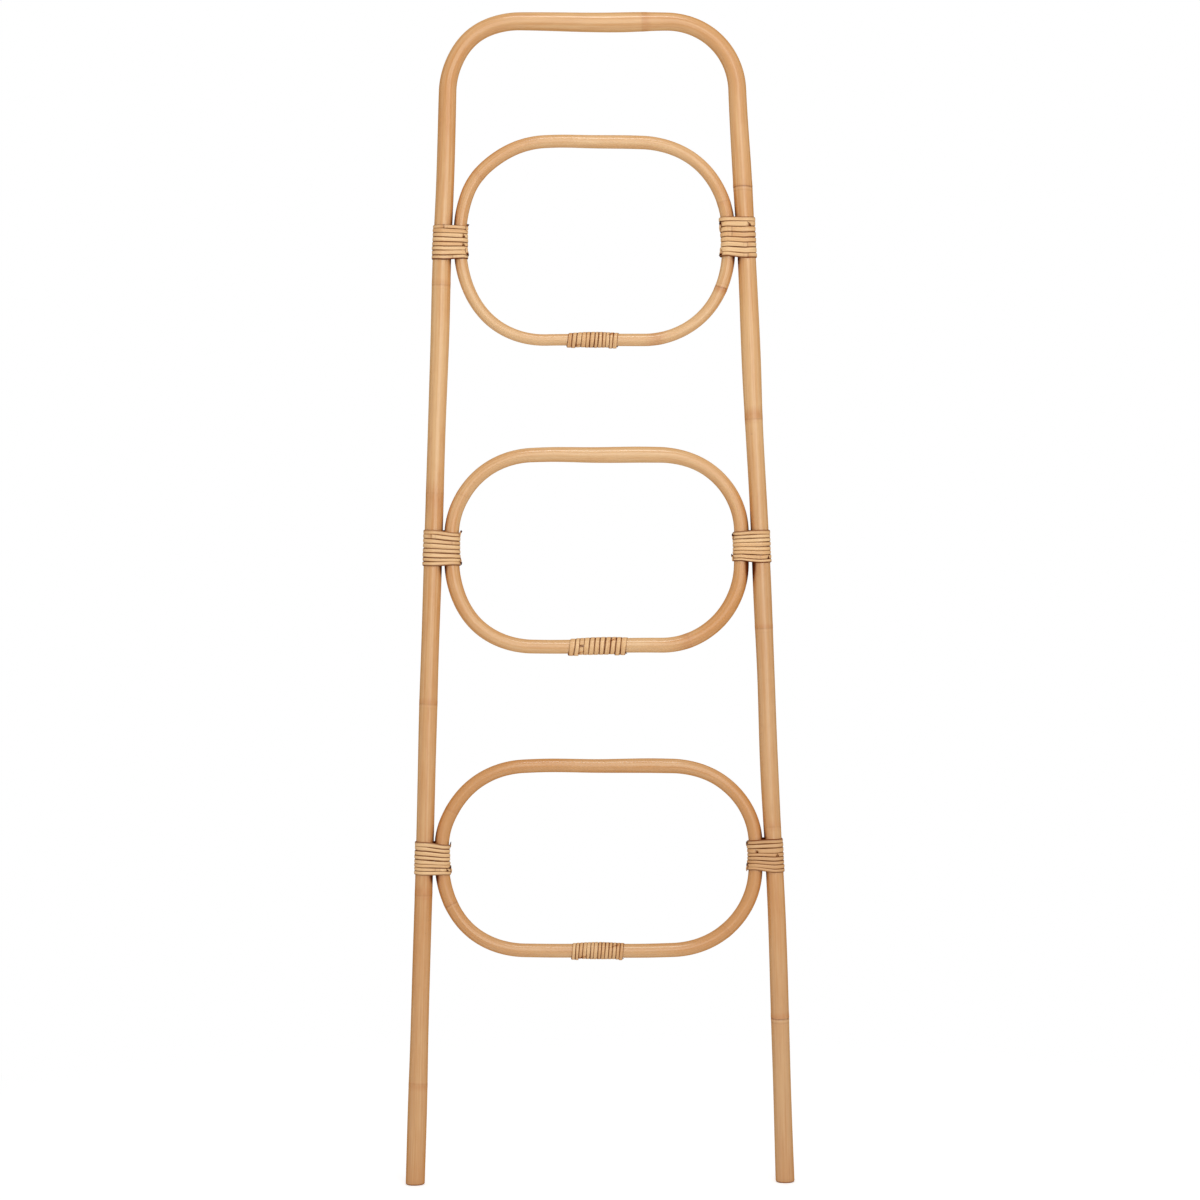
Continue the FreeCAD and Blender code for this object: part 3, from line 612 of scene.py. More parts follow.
def make_pole(finish):
    """The pole, its feet rounded and cut level with the floor."""
    angles = np.linspace(0, np.pi / 2, FOOT_RIM_STEPS)
    rim_inset = FOOT_ROUNDING * (1 - np.sin(angles))
    rim_rise = FOOT_ROUNDING * (1 - np.cos(angles))
    face = np.array(FOOT_FACE_SHARES)
    foot_along = np.concatenate([np.zeros(len(face)), rim_rise * LEAN])
    length = POLE_ROUTE.length
    body = POLE.along[(POLE.along > 2 * FOOT_ROUNDING) & (POLE.along < length - 2 * FOOT_ROUNDING)]
    along = np.concatenate([foot_along, body, length - foot_along[::-1]])
    girths = POLE.radius * POLE.girth(along)
    flat_radius = girths[[0, -1]] - FOOT_ROUNDING
    count = len(foot_along)
    girths[:count] = np.concatenate([face * flat_radius[0], girths[0] - rim_inset])
    girths[-count:] = np.concatenate([face * flat_radius[1], girths[-1] - rim_inset])[::-1]
    points, grain, marks = POLE.rings(along, *POLE.line(along), girths)
    from_foot = np.minimum(along, length - along)
    level = ramp(from_foot, LEVEL_REACH, 0)[:, None]
    points[:, :, 2] += level * (from_foot[:, None] / LEAN - points[:, :, 2])
    # Painted shade with dirt where the rings lie against the legs, on the pole's facing sides
    gap = np.min([crevice(points, ring, ring) for ring in RINGS.values()], axis=0)
    look = shaded(marks, gap)
    # Darker round the rounded rim of each foot
    rim = ramp(from_foot, *FOOT_RIM_REACH)[:, None]
    look["stain"] = np.maximum(look["stain"], FOOT_RIM_DARKENING * rim)
    cut = np.zeros(len(along))
    cut[:FOOT_CUT_STEPS] = 1
    cut[-FOOT_CUT_STEPS:] = 1
    skin = Skin()
    skin.tube(points, grain, cut=cut[:, None], **look)
    return skin.build("rattan_pole", finish)


def make_ring(level, finish):
    """One ring of rod, with its two scarfed ends lying together."""
    ring = RINGS[level]
    in_splice = np.minimum(ring.along, ring.route.length - ring.along) < SCARF_LENGTH
    swell = ring.swell(ring.centres[:, 0]) * in_splice
    points, grain, marks = ring.rings(ring.along, ring.centres, ring.outward, ring.girths + swell)
    points = ring.scarfed(points, ring.along)
    skin = Skin()
    # Painted shade with dirt where the ring's sides lie against the legs
    skin.tube(points, grain, **shaded(marks, crevice(points, POLE, ring)))
    return skin.build(f"{level}_rattan_ring", finish)


# The peel that binds the rods

# How square the crown of a peel is, how thick its edges are, and the last place where their brown begins:
# that brown is painted shade with dirt in the grooves between bands
PEEL_CROWN_POWER = 4
PEEL_EDGE_SHARE = 0.2
LAST_BORDER_SHARE = 0.93


def peel_rings(line, outward, widths, thickness, border, slants):
    """Sections of a peel along a line on its flat inside, with slanted ends, its grain and its brown edges.

    The brown edges are painted shade with dirt in the grooves between bands. The border is the share of
    the half width where those edges begin.
    """
    tangent = np.gradient(line, axis=0)
    tangent /= np.linalg.norm(tangent, axis=1)[:, None]
    up = outward - tangent * (outward * tangent).sum(1)[:, None]
    up /= np.linalg.norm(up, axis=1)[:, None]
    across = np.cross(tangent, up)
    crown = np.maximum((1 - np.array(CROWN_SHARES) ** PEEL_CROWN_POWER) ** 0.5, PEEL_EDGE_SHARE)
    crown = np.concatenate([crown, np.zeros(len(SECTION_SHARES) - len(CROWN_SHARES))])
    shares = np.array(SECTION_SHARES)
    sideways = shares[None, :] * widths[:, None] / 2
    height = crown[None, :] * thickness[:, None]
    points = line[:, None, :] + across[:, None, :] * sideways[:, :, None]
    points = points + up[:, None, :] * height[:, :, None]
    for end, slant in zip((0, -1), slants):
        points[end] += tangent[end] * (shares * widths[end] / 2 * slant)[:, None]
    travel = np.concatenate([[0], np.cumsum(np.linalg.norm(np.diff(line, axis=0), axis=1))])
    grain = np.stack([np.broadcast_to(travel[:, None], sideways.shape), sideways, height], 2)
    edge = ramp(np.abs(shares)[None, :], np.minimum(border, LAST_BORDER_SHARE)[:, None], FLAT_SHARE)
    return points, grain, edge


class Belt:
    """The way round a leg and a ring's side together, at any height."""

    def __init__(self, level, side):
        self.ring = RINGS[level]
        self.side = SIDES[side]
        self.length = float(self.measure(self.ring.rise)["total"])

    def measure(self, height):
        """The sizes of the way round at heights, and where its arcs and straights begin."""
        leg_reach, leg_radius = POLE.section(height, self.side, self.ring.rise)
        rod_reach, rod_radius = self.ring.section(height, self.side, self.ring.rise)
        leg_radius = leg_radius + PEEL_SEAT
        rod_radius = rod_radius + PEEL_SEAT
        span = leg_reach - rod_reach
        angle = np.arccos((rod_radius - leg_radius) / span)
        straight = span * np.sin(angle)
        rod_arc = rod_radius * (2 * np.pi - 2 * angle)
        front = rod_arc + straight
        back = front + leg_radius * 2 * angle
        return dict(leg_radius=leg_radius, rod_radius=rod_radius, rod_reach=rod_reach, span=span, angle=angle,
                    straight=straight, rod_arc=rod_arc, front=front, back=back, total=back + straight)

    def around(self, share, height, lift=0.0):
        """Points and outward directions at shares of the way round, which starts behind the ring's side."""
        way = self.measure(height)
        travel = share * way["total"]
        on_rod = travel < way["rod_arc"]
        on_leg = (travel >= way["front"]) & (travel < way["back"])
        angle = np.where(travel < way["front"], -way["angle"], way["angle"])
        angle = np.where(on_rod, way["angle"] + travel / way["rod_radius"], angle)
        angle = np.where(on_leg, (travel - way["front"]) / way["leg_radius"] - way["angle"], angle)
        forth = (travel - way["rod_arc"]) / way["straight"]
        over = np.where(travel < way["front"], forth, 1 - (travel - way["back"]) / way["straight"])
        over = np.where(on_rod, 0, np.where(on_leg, 1, over))
        radius = way["rod_radius"] + (way["leg_radius"] - way["rod_radius"]) * over + lift
        outward = np.stack([np.cos(angle) * self.side, np.sin(angle), np.zeros_like(angle)], 1)
        centres = np.stack([(way["rod_reach"] + way["span"] * over) * self.side, 0 * angle, height], 1)
        return centres + outward * radius[:, None], outward, over

    def share_at(self, across):
        """The share of the way round at a part of the width seen from the front, 0 at the ring's side."""
        way = {name: float(size) for name, size in self.measure(self.ring.rise).items()}
        place = across * (way["rod_radius"] + way["span"] + way["leg_radius"]) - way["rod_radius"]
        rod_end = way["rod_radius"] * math.cos(way["angle"])
        leg_start = way["span"] + way["leg_radius"] * math.cos(way["angle"])
        if place < rod_end:
            turned = 2 * math.pi - math.acos(place / way["rod_radius"]) - way["angle"]
            travel = turned * way["rod_radius"]
        elif place < leg_start:
            travel = way["rod_arc"] + (place - rod_end) / (leg_start - rod_end) * way["straight"]
        else:
            turned = way["angle"] - math.acos((place - way["span"]) / way["leg_radius"])
            travel = way["front"] + turned * way["leg_radius"]
        return travel / way["total"]


# What each lashing shows, in millimetres: how far its middle is above the ring's, the widths of its bands
# from the bottom, the tilt of its lowest and its highest band, and how far its bands stand off the ring's
# side, from the bottom. Bands count from 0 at the bottom, and places on one run from 0 at the ring's side to
# 1 at the leg's: ends cut there with a slant, and nodes with a strength. Tails lie over the bands on the
# ring's side, from one band to another. Its colour comes last: how dark its lower and its upper rim are, as
# painted contact shadow with dirt, how deep it is and how dull.
LASHINGS = {
    ("upper", "left"): dict(
        shift=-1.6, bands=(6.1, 7.3, 5.5, 6.3, 6.9, 6.1, 6.1, 5.2), tilt=(-2.6, 0.6),
        pads=(0, 0.6, 0.2, 0.4, 0.8, 0.4, 0.3, 0.2), cuts=[(3, 0.1, 0.5), (5, 0.1, 0.5)],
        nodes=[(0, 0.4, 0.6), (7, 0.7, 0.8)], tails=[(2.5, 1.0), (6.6, 8.2)],
        rims=(1.2, 0.3), deep=0.3, dull=0.0),
    ("upper", "right"): dict(
        shift=3.2, bands=(7.1, 8.2, 7.3, 6.8, 7.9, 7.3, 7.9, 6.8), tilt=(-4.5, -1.9),
        pads=(2.0, 1.4, 0, 0, 0.4, 1.0, 1.4, 1.4), cuts=[(6, 0.82, 1.1)],
        nodes=[(5, 0.31, 0.5), (4, 0.31, 0.6), (2, 0.75, 0.5), (0, 0.75, 0.6)],
        tails=[(1.6, 0.4), (5.2, 6.9)], rims=(0.9, 0.3), deep=0.3, dull=0.0),
    ("middle", "left"): dict(
        shift=2.6, bands=(6.8, 4.9, 7.3, 6.0, 6.7, 6.4, 6.7, 6.3), tilt=(-2.0, 3.0),
        pads=(0.6, 1.2, 0.4, 0.2, 0.2, 0.2, 0.4, 0.6), cuts=[], nodes=[(6, 0.78, 0.6), (5, 0.2, 0.4)],
        tails=[(1.7, 0.6), (6.8, 8.0)], rims=(0.9, 0.6), deep=0.3, dull=0.1),
    ("middle", "right"): dict(
        shift=2.8, bands=(5.0, 6.2, 5.3, 5.7, 6.4, 5.4, 5.3, 6.4), tilt=(-4.2, 1.2),
        pads=(1.0, 1.0, 0.2, 0, 0, 0, 0.4, 0.6), cuts=[(1, 0.93, -0.6)], nodes=[(1, 0.72, 0.4)],
        tails=[(0.5, 1.8), (5.9, 7.0)], rims=(1.1, 0.8), deep=0.2, dull=0.0),
    ("lower", "left"): dict(
        shift=0.6, bands=(5.9, 5.1, 4.9, 5.7, 5.7, 6.7, 6.0, 6.9), tilt=(-1.2, 3.2),
        pads=(0.4, 1.0, 0.4, 0.2, 0, 0, 0.2, 0.4), cuts=[(1, 0.07, 0.7)],
        nodes=[(1, 0.4, 0.5), (1, 0.27, 0.5)], tails=[(0.6, 2.2), (6.9, 8.0)],
        rims=(0.7, 0.8), deep=0.25, dull=0.1),
    ("lower", "right"): dict(
        shift=2.8, bands=(5.3, 6.0, 4.7, 6.0, 4.7, 7.1, 6.3, 6.3), tilt=(-4.8, 0.6),
        pads=(1.6, 1.4, 0.4, 0, 0, 0.2, 0.8, 1.0), cuts=[(5, 0.24, 1.1), (4, 0.83, 0.2)], nodes=[],
        tails=[(0.3, 1.9), (6.4, 7.4)], rims=(0.7, 0.9), deep=0.5, dull=0.75),
}
# What each wrap shows, in millimetres: how far its middle is right of the ring's, the widths of its bands
# from the left, how far in from its left and its right end its tails reach, and how far it bulges. Its cuts
# are given by turns and slant, its darkest edges by turns, and its colour by how deep and how dull it is.
WRAPS = {
    "upper": dict(shift=-3.4, bands=(6.7, 6.7, 7.1, 6.5, 5.4, 7.1, 5.0, 6.2, 5.0, 5.0, 5.4, 6.7),
                  tails=(13, 11), bulge=1.1, cuts=[], dark=(4.8, 8.7, 9.75), deep=0.4, dull=0.2),
    "middle": dict(shift=1.3, bands=(8.3, 6.7, 6.2, 7.5, 8.3, 7.1, 7.5, 8.3, 7.5, 7.5, 8.3),
                   tails=(11, 16), bulge=0.7, cuts=[(2.26, 0.3)], dark=(4.8,), deep=0.25, dull=0.0),
    "lower": dict(shift=-2.1, bands=(5.5, 5.0, 5.6, 5.2, 5.4, 5.3, 5.5, 5.0, 5.3, 5.6, 5.2, 5.4, 5.2, 5.5),
                  tails=(9, 8), bulge=0.6, cuts=[], dark=(2.75, 8.75), deep=0.45, dull=0.3),
}
CUT_GAP = 1.1 * MM
LEAST_STEPS = 8
END_THINNING = 0.4
# How orange the peel turns beside its brown edges, painted shade with dirt
EDGE_WARMTH = 0.7
DEEP_SPREAD = 0.3
GRAIN_ROOM = 40
TAIL_RUN = np.linspace(0, 1, 16)
TAIL_BORDER = 0.8
TAIL_STAIN = 1.6
TACK_SEAT = 0.8


def padded_ends(values, step):
    return np.concatenate([[values[0] - step], values, [values[-1] + step]])


class Binding:
    """Peel wound in bands of their own widths, with a gap where one length of it ends and the next begins."""

    def __init__(self, name, look):
        self.name = name
        self.look = look
        self.chance = random.Random(name)
        widths = np.array(look["bands"]) * MM
        self.turns = len(widths)
        self.span = widths.sum()
        self.pitch = self.span / self.turns
        self.fronts = padded_ends(np.arange(self.turns) + self.FRONT_SHARE, 1)
        self.middles = padded_ends(np.cumsum(widths) - widths / 2 - self.span / 2, self.RUN_ON * self.pitch)
        self.widths = np.concatenate([widths[:1], widths, widths[-1:]])
        self.wave = self.wandering(*self.WAVE)
        self.plump = self.wandering(*self.PLUMPNESS)
        self.shade = self.wandering(-DEEP_SPREAD, DEEP_SPREAD, 1)
        self.border = self.wandering(*self.EDGE_STARTS)

    def wandering(self, low, high, steps_each=3):
        """A value that wanders along the winding."""
        marks = range(-steps_each, steps_each * (self.turns + 1) + 1)
        return smooth_line([(mark / steps_each, self.chance.uniform(low, high)) for mark in marks])

    def advance(self, turns):
        """How far the winding is past its middle at turns."""
        return np.interp(turns, self.fronts, self.middles) + self.wave(turns) * MM

    def band_width(self, turns):
        return np.interp(turns, self.fronts, self.widths) * self.FILL

    def lengths(self, cuts, start, end, around):
        """Each length of peel between the cuts: its turns, how far they are from its ends, and its slants."""
        gap = CUT_GAP / around
        edges = [(start, 0.0)]
        for place, slant in sorted(cuts):
            edges.extend([(place - gap / 2, slant), (place + gap / 2, slant)])
        edges.append((end, 0.0))
        for (first, first_slant), (last, last_slant) in zip(edges[::2], edges[1::2]):
            turns = np.linspace(first, last, max(LEAST_STEPS, math.ceil((last - first) * around / PEEL_STEP)))
            yield turns, np.minimum(turns - first, last - turns) * around, (first_slant, last_slant)

    def thinned(self, thickness, from_end):
        """A thickness that lessens towards both ends of a length of peel."""
        return thickness * (1 - END_THINNING + END_THINNING * ramp(from_end, 0, self.END_TAPER))

    def peel(self, line, outward, width, thickness, border, slants):
        """The sections, grain and edges of one length of peel, whose grain is like no other's."""
        rings, grain, edge = peel_rings(line, outward, width, thickness, border, slants)
        grain[:, :, 0] += self.chance.uniform(0, GRAIN_ROOM)
        return rings, grain, edge

    def add_tail(self, skin, line, outward, width, thickness):
        """A loose end of peel, dark towards its slanted cut."""
        border = np.full(len(TAIL_RUN), TAIL_BORDER)
        rings, grain, edge = self.peel(line, outward, width, thickness, border, (0.0, self.TAIL_SLANT))
        stain = np.maximum(edge, TAIL_STAIN * ramp(TAIL_RUN, *self.TAIL_DARKENING)[:, None])
        skin.tube(rings, grain, stain=stain, deep=self.look["deep"], dull=self.look["dull"])

    def tack_places(self):
        """Where a tack holds each end of the winding, out of sight from the front."""
        return self.wound(np.array([0.0, self.turns - self.TACK_BACK]), TACK_SEAT * self.THICKNESS)[:2]


class Lashing(Binding):
    """The binding of a ring's side to a leg, with the tails of its peel over it."""

    THICKNESS = 1.7 * MM
    FILL = 0.975
    FRONT_SHARE = 0.36
    RUN_ON = 0.5
    WAVE = (-0.35, 0.35)
    PLUMPNESS = (0.84, 1.14)
    EDGE_STARTS = (0.5, 0.98)
    END_RUN = 7 * MM
    END_TAPER = 5 * MM
    PAD_SHARE = 0.1
    # How much a node of the peel thickens, widens and warms it, and how far along the peel it does
    NODE_RISE = 0.4 * MM
    NODE_RISE_REACH = 1.6 * MM
    NODE_WIDENING = 0.3 * MM
    NODE_WIDENING_REACH = 2.0 * MM
    NODE_WARMTH = 0.8
    NODE_WARMTH_PLACE = 1.5 * MM
    NODE_WARMTH_REACH = 4 * MM
    # How dark the painted shadow at a cut end is, how near to it, and from which share of the width down
    CUT_SHADOW_DARKNESS = 1.5
    TORN_REACH = (2.2 * MM, 0.3 * MM)
    TORN_SHARES = (0.7, -0.6)
    RIM_TURNS = (1.15, 0.95)
    RIM_SHARES = (0.1, 0.75)
    # A tail's place round the rods and its sway, how it climbs over the bands and curls up, and its slimming
    TAIL_SHARE = 0.13
    TAIL_SWAY = 0.03
    TAIL_SWAY_TURN = 2
    TAIL_LOW = 0.3
    TAIL_CLIMB = 0.8
    TAIL_STEEPNESS = 2.2
    TAIL_CURL = 0.9 * MM
    TAIL_CURL_START = 0.6
    TAIL_WIDTH = 0.7
    TAIL_DEPTH = 0.75
    TAIL_SLIMMING = 0.1
    TAIL_SLANT = 0.7
    TAIL_DARKENING = (0.5, 0.95)
    TACK_BACK = 0

    def __init__(self, level, side):
        super().__init__(f"{level}_{side}_lashing", LASHINGS[level, side])
        self.belt = Belt(level, side)
        self.upward = -self.belt.side * np.array(SECTION_SHARES)
        self.middle = self.belt.ring.rise + self.look["shift"] * MM
        self.low_tilt, high_tilt = np.array(self.look["tilt"]) * MM
        self.fanning = high_tilt - self.low_tilt
        self.pad = smooth_line([(band + self.TAIL_SHARE, pad) for band, pad in enumerate(self.look["pads"])])

    def wound(self, turns, lift=0.0):
        """Points, outward directions and the share of the way over to the leg, at turns of the winding."""
        share = turns % 1
        height = self.middle + self.advance(turns)
        over = self.belt.around(share, height)[2]
        tilt = self.low_tilt + self.fanning * np.clip(turns / self.turns, 0, 1)
        pad = self.pad(turns) * MM * bell(share - self.TAIL_SHARE, self.PAD_SHARE)
        return self.belt.around(share, height + tilt * (over - 0.5), lift + pad)

    def make(self, finish):
        skin = Skin()
        around = self.belt.length
        cuts = [(band + self.belt.share_at(across), slant) for band, across, slant in self.look["cuts"]]
        nodes = [(band + self.belt.share_at(across), mark) for band, across, mark in self.look["nodes"]]
        run = self.END_RUN / around
        for turns, from_end, slants in self.lengths(cuts, -run, self.turns + run, around):
            line, outward, over = self.wound(turns)
            width = self.band_width(turns) * (1 + self.fanning / self.span * (over - 0.5))
            thickness = self.THICKNESS * self.plump(turns)
            node_gap = np.full(len(turns), Skin.FAR)
            node_mark = np.zeros(len(turns))
            warm = np.zeros(len(turns))
            for place, strength in nodes:
                gap = (turns - place) * around
                thickness = thickness + self.NODE_RISE * strength * bell(gap, self.NODE_RISE_REACH)
                width = width + self.NODE_WIDENING * strength * bell(gap, self.NODE_WIDENING_REACH)
                nearer = np.abs(gap) < np.abs(node_gap)
                node_gap = np.where(nearer, gap, node_gap)
                node_mark = np.where(nearer, strength, node_mark)
                glow = bell(gap - self.NODE_WARMTH_PLACE, self.NODE_WARMTH_REACH)
                warm = np.maximum(warm, self.NODE_WARMTH * strength * glow)
            thickness = self.thinned(thickness, from_end)
            rings, grain, edge = self.peel(line, outward, width, thickness, self.border(turns), slants)
            cut_shadow = ramp(from_end, *self.TORN_REACH)[:, None] * ramp(self.upward, *self.TORN_SHARES)
            stain = np.max([edge, self.CUT_SHADOW_DARKNESS * cut_shadow, self.rim(turns)], axis=0)
            warm = np.maximum(warm[:, None], EDGE_WARMTH * np.sqrt(edge))
            deep = self.look["deep"] + self.shade(turns)
            skin.tube(rings, grain, stain=stain, node_gap=node_gap[:, None], node_mark=node_mark[:, None],
                      warm=warm, deep=deep[:, None], dull=self.look["dull"])
        for low, high in self.look["tails"]:
            self.lay_over(skin, low + (high - low) * TAIL_RUN)
        return skin.build(self.name + "_peel", finish)

    def rim(self, turns):
        """How dark the lower edge of the lowest band and the upper edge of the highest are."""
        # The darkening is painted contact shadow with dirt along the lashing's rims
        low, high = self.look["rims"]
        lowest = ramp(turns, *self.RIM_TURNS)[:, None] * ramp(-self.upward, *self.RIM_SHARES)
        highest = ramp(self.turns - turns, *self.RIM_TURNS)[:, None] * ramp(self.upward, *self.RIM_SHARES)
        return low * lowest + high * highest

    def lay_over(self, skin, bands):
        """A tail over the bands on the ring's side, whose cut end stands off."""
        climb = np.sin(np.pi / 2 * np.clip(TAIL_RUN * self.TAIL_STEEPNESS, 0, 1))
        lift = self.THICKNESS * (self.TAIL_LOW + self.TAIL_CLIMB * climb) + self.pad(bands) * MM
        lift = lift + self.TAIL_CURL * ramp(TAIL_RUN, self.TAIL_CURL_START, 1)
        sway = np.sin(TAIL_RUN * self.TAIL_SWAY_TURN + self.chance.uniform(-1, 1))
        height = self.middle - self.span / 2 + self.pitch * bands
        line, outward = self.belt.around(self.TAIL_SHARE + self.TAIL_SWAY * sway, height, lift)[:2]
        width = self.pitch * (self.TAIL_WIDTH - self.TAIL_SLIMMING * TAIL_RUN)
        thickness = self.THICKNESS * (self.TAIL_DEPTH - self.TAIL_SLIMMING * TAIL_RUN)
        self.add_tail(skin, line, outward, width, thickness)


class Wrap(Binding):
    """The peel wound round a splice, over the tails of its own two ends."""

    THICKNESS = 0.9 * MM
    FILL = 0.965
    FRONT_SHARE = 0.25
    RUN_ON = 1
    WAVE = (-0.25, 0.25)
    PLUMPNESS = (0.86, 1.14)
    EDGE_STARTS = (0.4, 0.95)
    START = -0.15
    END = -0.25
    END_TAPER = 4 * MM
    # How dark the painted shadow at a cut end is, and how near to it
    CUT_SHADOW_DARKNESS = 1.1
    TORN_REACH = (1.6 * MM, 0.3 * MM)
    # How many turns a darkest edge takes, how much darker it is, and how much wider
    DARK_TURNS = 0.22
    DARKER = 0.6
    DARK_WIDENING = 0.3
    # Where the tails lie under the turns, and how they lift them
    TAIL_ANGLE = 0.22
    TAIL_ROOM = 0.2
    TAIL_INSET = 1.5 * MM
    TAIL_LIFT = 2.2 * MM
    TAIL_RISE_RUN = 2 * MM
    TAIL_FALL_RUN = 3 * MM
    TAIL_CURL = 0.6 * MM
    TAIL_CURL_SHARES = (0.8, 1.0)
    TAIL_WIDTH = 0.6
    TAIL_SLANT = 0.3
    TAIL_DARKENING = (0.6, 1.0)
    TACK_BACK = 1

    def __init__(self, level):
        super().__init__(f"{level}_splice_wrap", WRAPS[level])
        self.ring = RINGS[level]
        self.middle = self.look["shift"] * MM
        start = self.middle - self.span / 2
        end = self.middle + self.span / 2
        left, right = (reach * MM for reach in self.look["tails"])
        self.tails = ((start + self.TAIL_INSET, start + left), (end - right, end - self.TAIL_INSET))

    def lift(self, across, angle):
        """How far the turns stand off: a bulge over the splice, and the tails under them."""
        share = (across - self.middle) / (self.span / 2)
        bulge = self.look["bulge"] * MM * np.clip(1 - share ** 2, 0, 1)
        under = bell(np.sin((angle - self.TAIL_ANGLE) / 2), self.TAIL_ROOM)
        rise = self.TAIL_RISE_RUN
        fall = self.TAIL_FALL_RUN
        spans = sum(ramp(across, low - rise, low) * ramp(across, high + fall, high)
                    for low, high in self.tails)
        return bulge + self.TAIL_LIFT * under * spans

    def around(self, angle, across, lift):
        """Points and outward directions at angles from the underside, which the front follows."""
        heights, radii = self.ring.splice_line(across)
        outward = np.stack([0 * angle, -np.sin(angle), -np.cos(angle)], 1)
        centres = np.stack([across, 0 * angle, heights], 1)
        return centres + outward * (radii + PEEL_SEAT + lift)[:, None], outward

    def wound(self, turns, lift=0.0):
        across = self.middle + self.advance(turns)
        angle = turns * 2 * np.pi
        return self.around(angle, across, self.lift(across, angle) + lift)

    def make(self, finish):
        skin = Skin()
        around = 2 * math.pi * (self.ring.radius + PEEL_SEAT)
        wound = self.lengths(self.look["cuts"], self.START, self.turns + self.END, around)
        for turns, from_end, slants in wound:
            line, outward = self.wound(turns)
            thickness = self.thinned(self.THICKNESS * self.plump(turns), from_end)
            dark = sum(bell(turns - place, self.DARK_TURNS) for place in self.look["dark"])
            border = self.border(turns) - self.DARK_WIDENING * dark
            rings, grain, edge = self.peel(line, outward, self.band_width(turns), thickness, border, slants)
            cut_shadow = self.CUT_SHADOW_DARKNESS * ramp(from_end, *self.TORN_REACH)
            stain = np.maximum(edge * (1 + self.DARKER * dark)[:, None], cut_shadow[:, None])
            deep = self.look["deep"] + self.shade(turns)
            skin.tube(rings, grain, stain=stain, warm=EDGE_WARMTH * np.sqrt(edge), deep=deep[:, None],
                      dull=self.look["dull"])
        (left_start, left_end), (right_start, right_end) = self.tails
        self.lay_under(skin, left_end, left_start - self.TAIL_INSET)
        self.lay_under(skin, right_start, right_end + self.TAIL_INSET)
        return skin.build(self.name + "_peel", finish)

    def lay_under(self, skin, inner, outer):
        """A tail under the turns, from its inner end to its cut end beside them."""
        across = inner + (outer - inner) * TAIL_RUN
        angle = np.full(len(TAIL_RUN), self.TAIL_ANGLE)
        line, outward = self.around(angle, across, self.TAIL_CURL * ramp(TAIL_RUN, *self.TAIL_CURL_SHARES))
        width = np.full(len(TAIL_RUN), self.TAIL_WIDTH * self.widths.mean())
        self.add_tail(skin, line, outward, width, np.full(len(TAIL_RUN), self.THICKNESS))


# The tacks that hold the ends of the peel: distance out from the peel and radius, in millimetres
TACK_PROFILE = (
    (-6.5, 0.08), (-5.2, 0.45), (-0.3, 0.5), (0.0, 1.15), (0.2, 1.3), (0.45, 1.15), (0.62, 0.7), (0.7, 0.1),
)
TACK_SIDES = 16
# A direction that no tack is driven along
TACK_ASIDE = (0.3, 0.2, 0.93)


def make_tacks(level, bindings, finish):
    """Every tack of one ring, driven through the ends of its bindings."""
    skin = Skin()
    turn = np.arange(TACK_SIDES) * 2 * np.pi / TACK_SIDES
    for binding in bindings:
        for place, outward in zip(*binding.tack_places()):
            sideways = np.cross(outward, TACK_ASIDE)
            sideways /= np.linalg.norm(sideways)
            other = np.cross(sideways, outward)
            circle = np.cos(turn)[:, None] * sideways + np.sin(turn)[:, None] * other
            rings = np.stack([place + outward * out * MM + circle * radius * MM
                              for out, radius in TACK_PROFILE])
            skin.tube(rings, rings - place)
    return skin.build(f"{level}_tack_heads", finish)


# Materials


def tone(red, green, blue):
    """A colour by its usual 0 to 255 values, as Blender's linear colour."""
    return (*(((value / 255 + 0.055) / 1.055) ** 2.4 for value in (red, green, blue)), 1.0)


class Value:
    """A number in a material, so that its maths reads as plain sums."""

    def __init__(self, finish, socket):
        self.finish = finish
        self.socket = socket

    def math(self, operation, *others, turned=False):
        terms = [self, *others]
        if turned:
            terms.reverse()
        return self.finish.node("ShaderNodeMath", dict(enumerate(terms)), operation=operation)

    def __add__(self, other):
        return self.math("ADD", other)

    __radd__ = __add__

    def __sub__(self, other):
        return self.math("SUBTRACT", other)

    def __rsub__(self, other):
        return self.math("SUBTRACT", other, turned=True)

    def __mul__(self, other):
        return self.math("MULTIPLY", other)

    __rmul__ = __mul__

    def __truediv__(self, other):
        return self.math("DIVIDE", other)

    def bell(self, width):
        """1 at zero, falling away smoothly over a width on both sides."""
        scaled = self / width
        return (0 - scaled * scaled).math("EXPONENT")

    def ramp(self, low, high):
        """0 at low, 1 at high, and smooth between."""
        return self.finish.node("ShaderNodeMapRange", {"Value": self, "From Min": low, "From Max": high},
                                interpolation_type="SMOOTHSTEP")


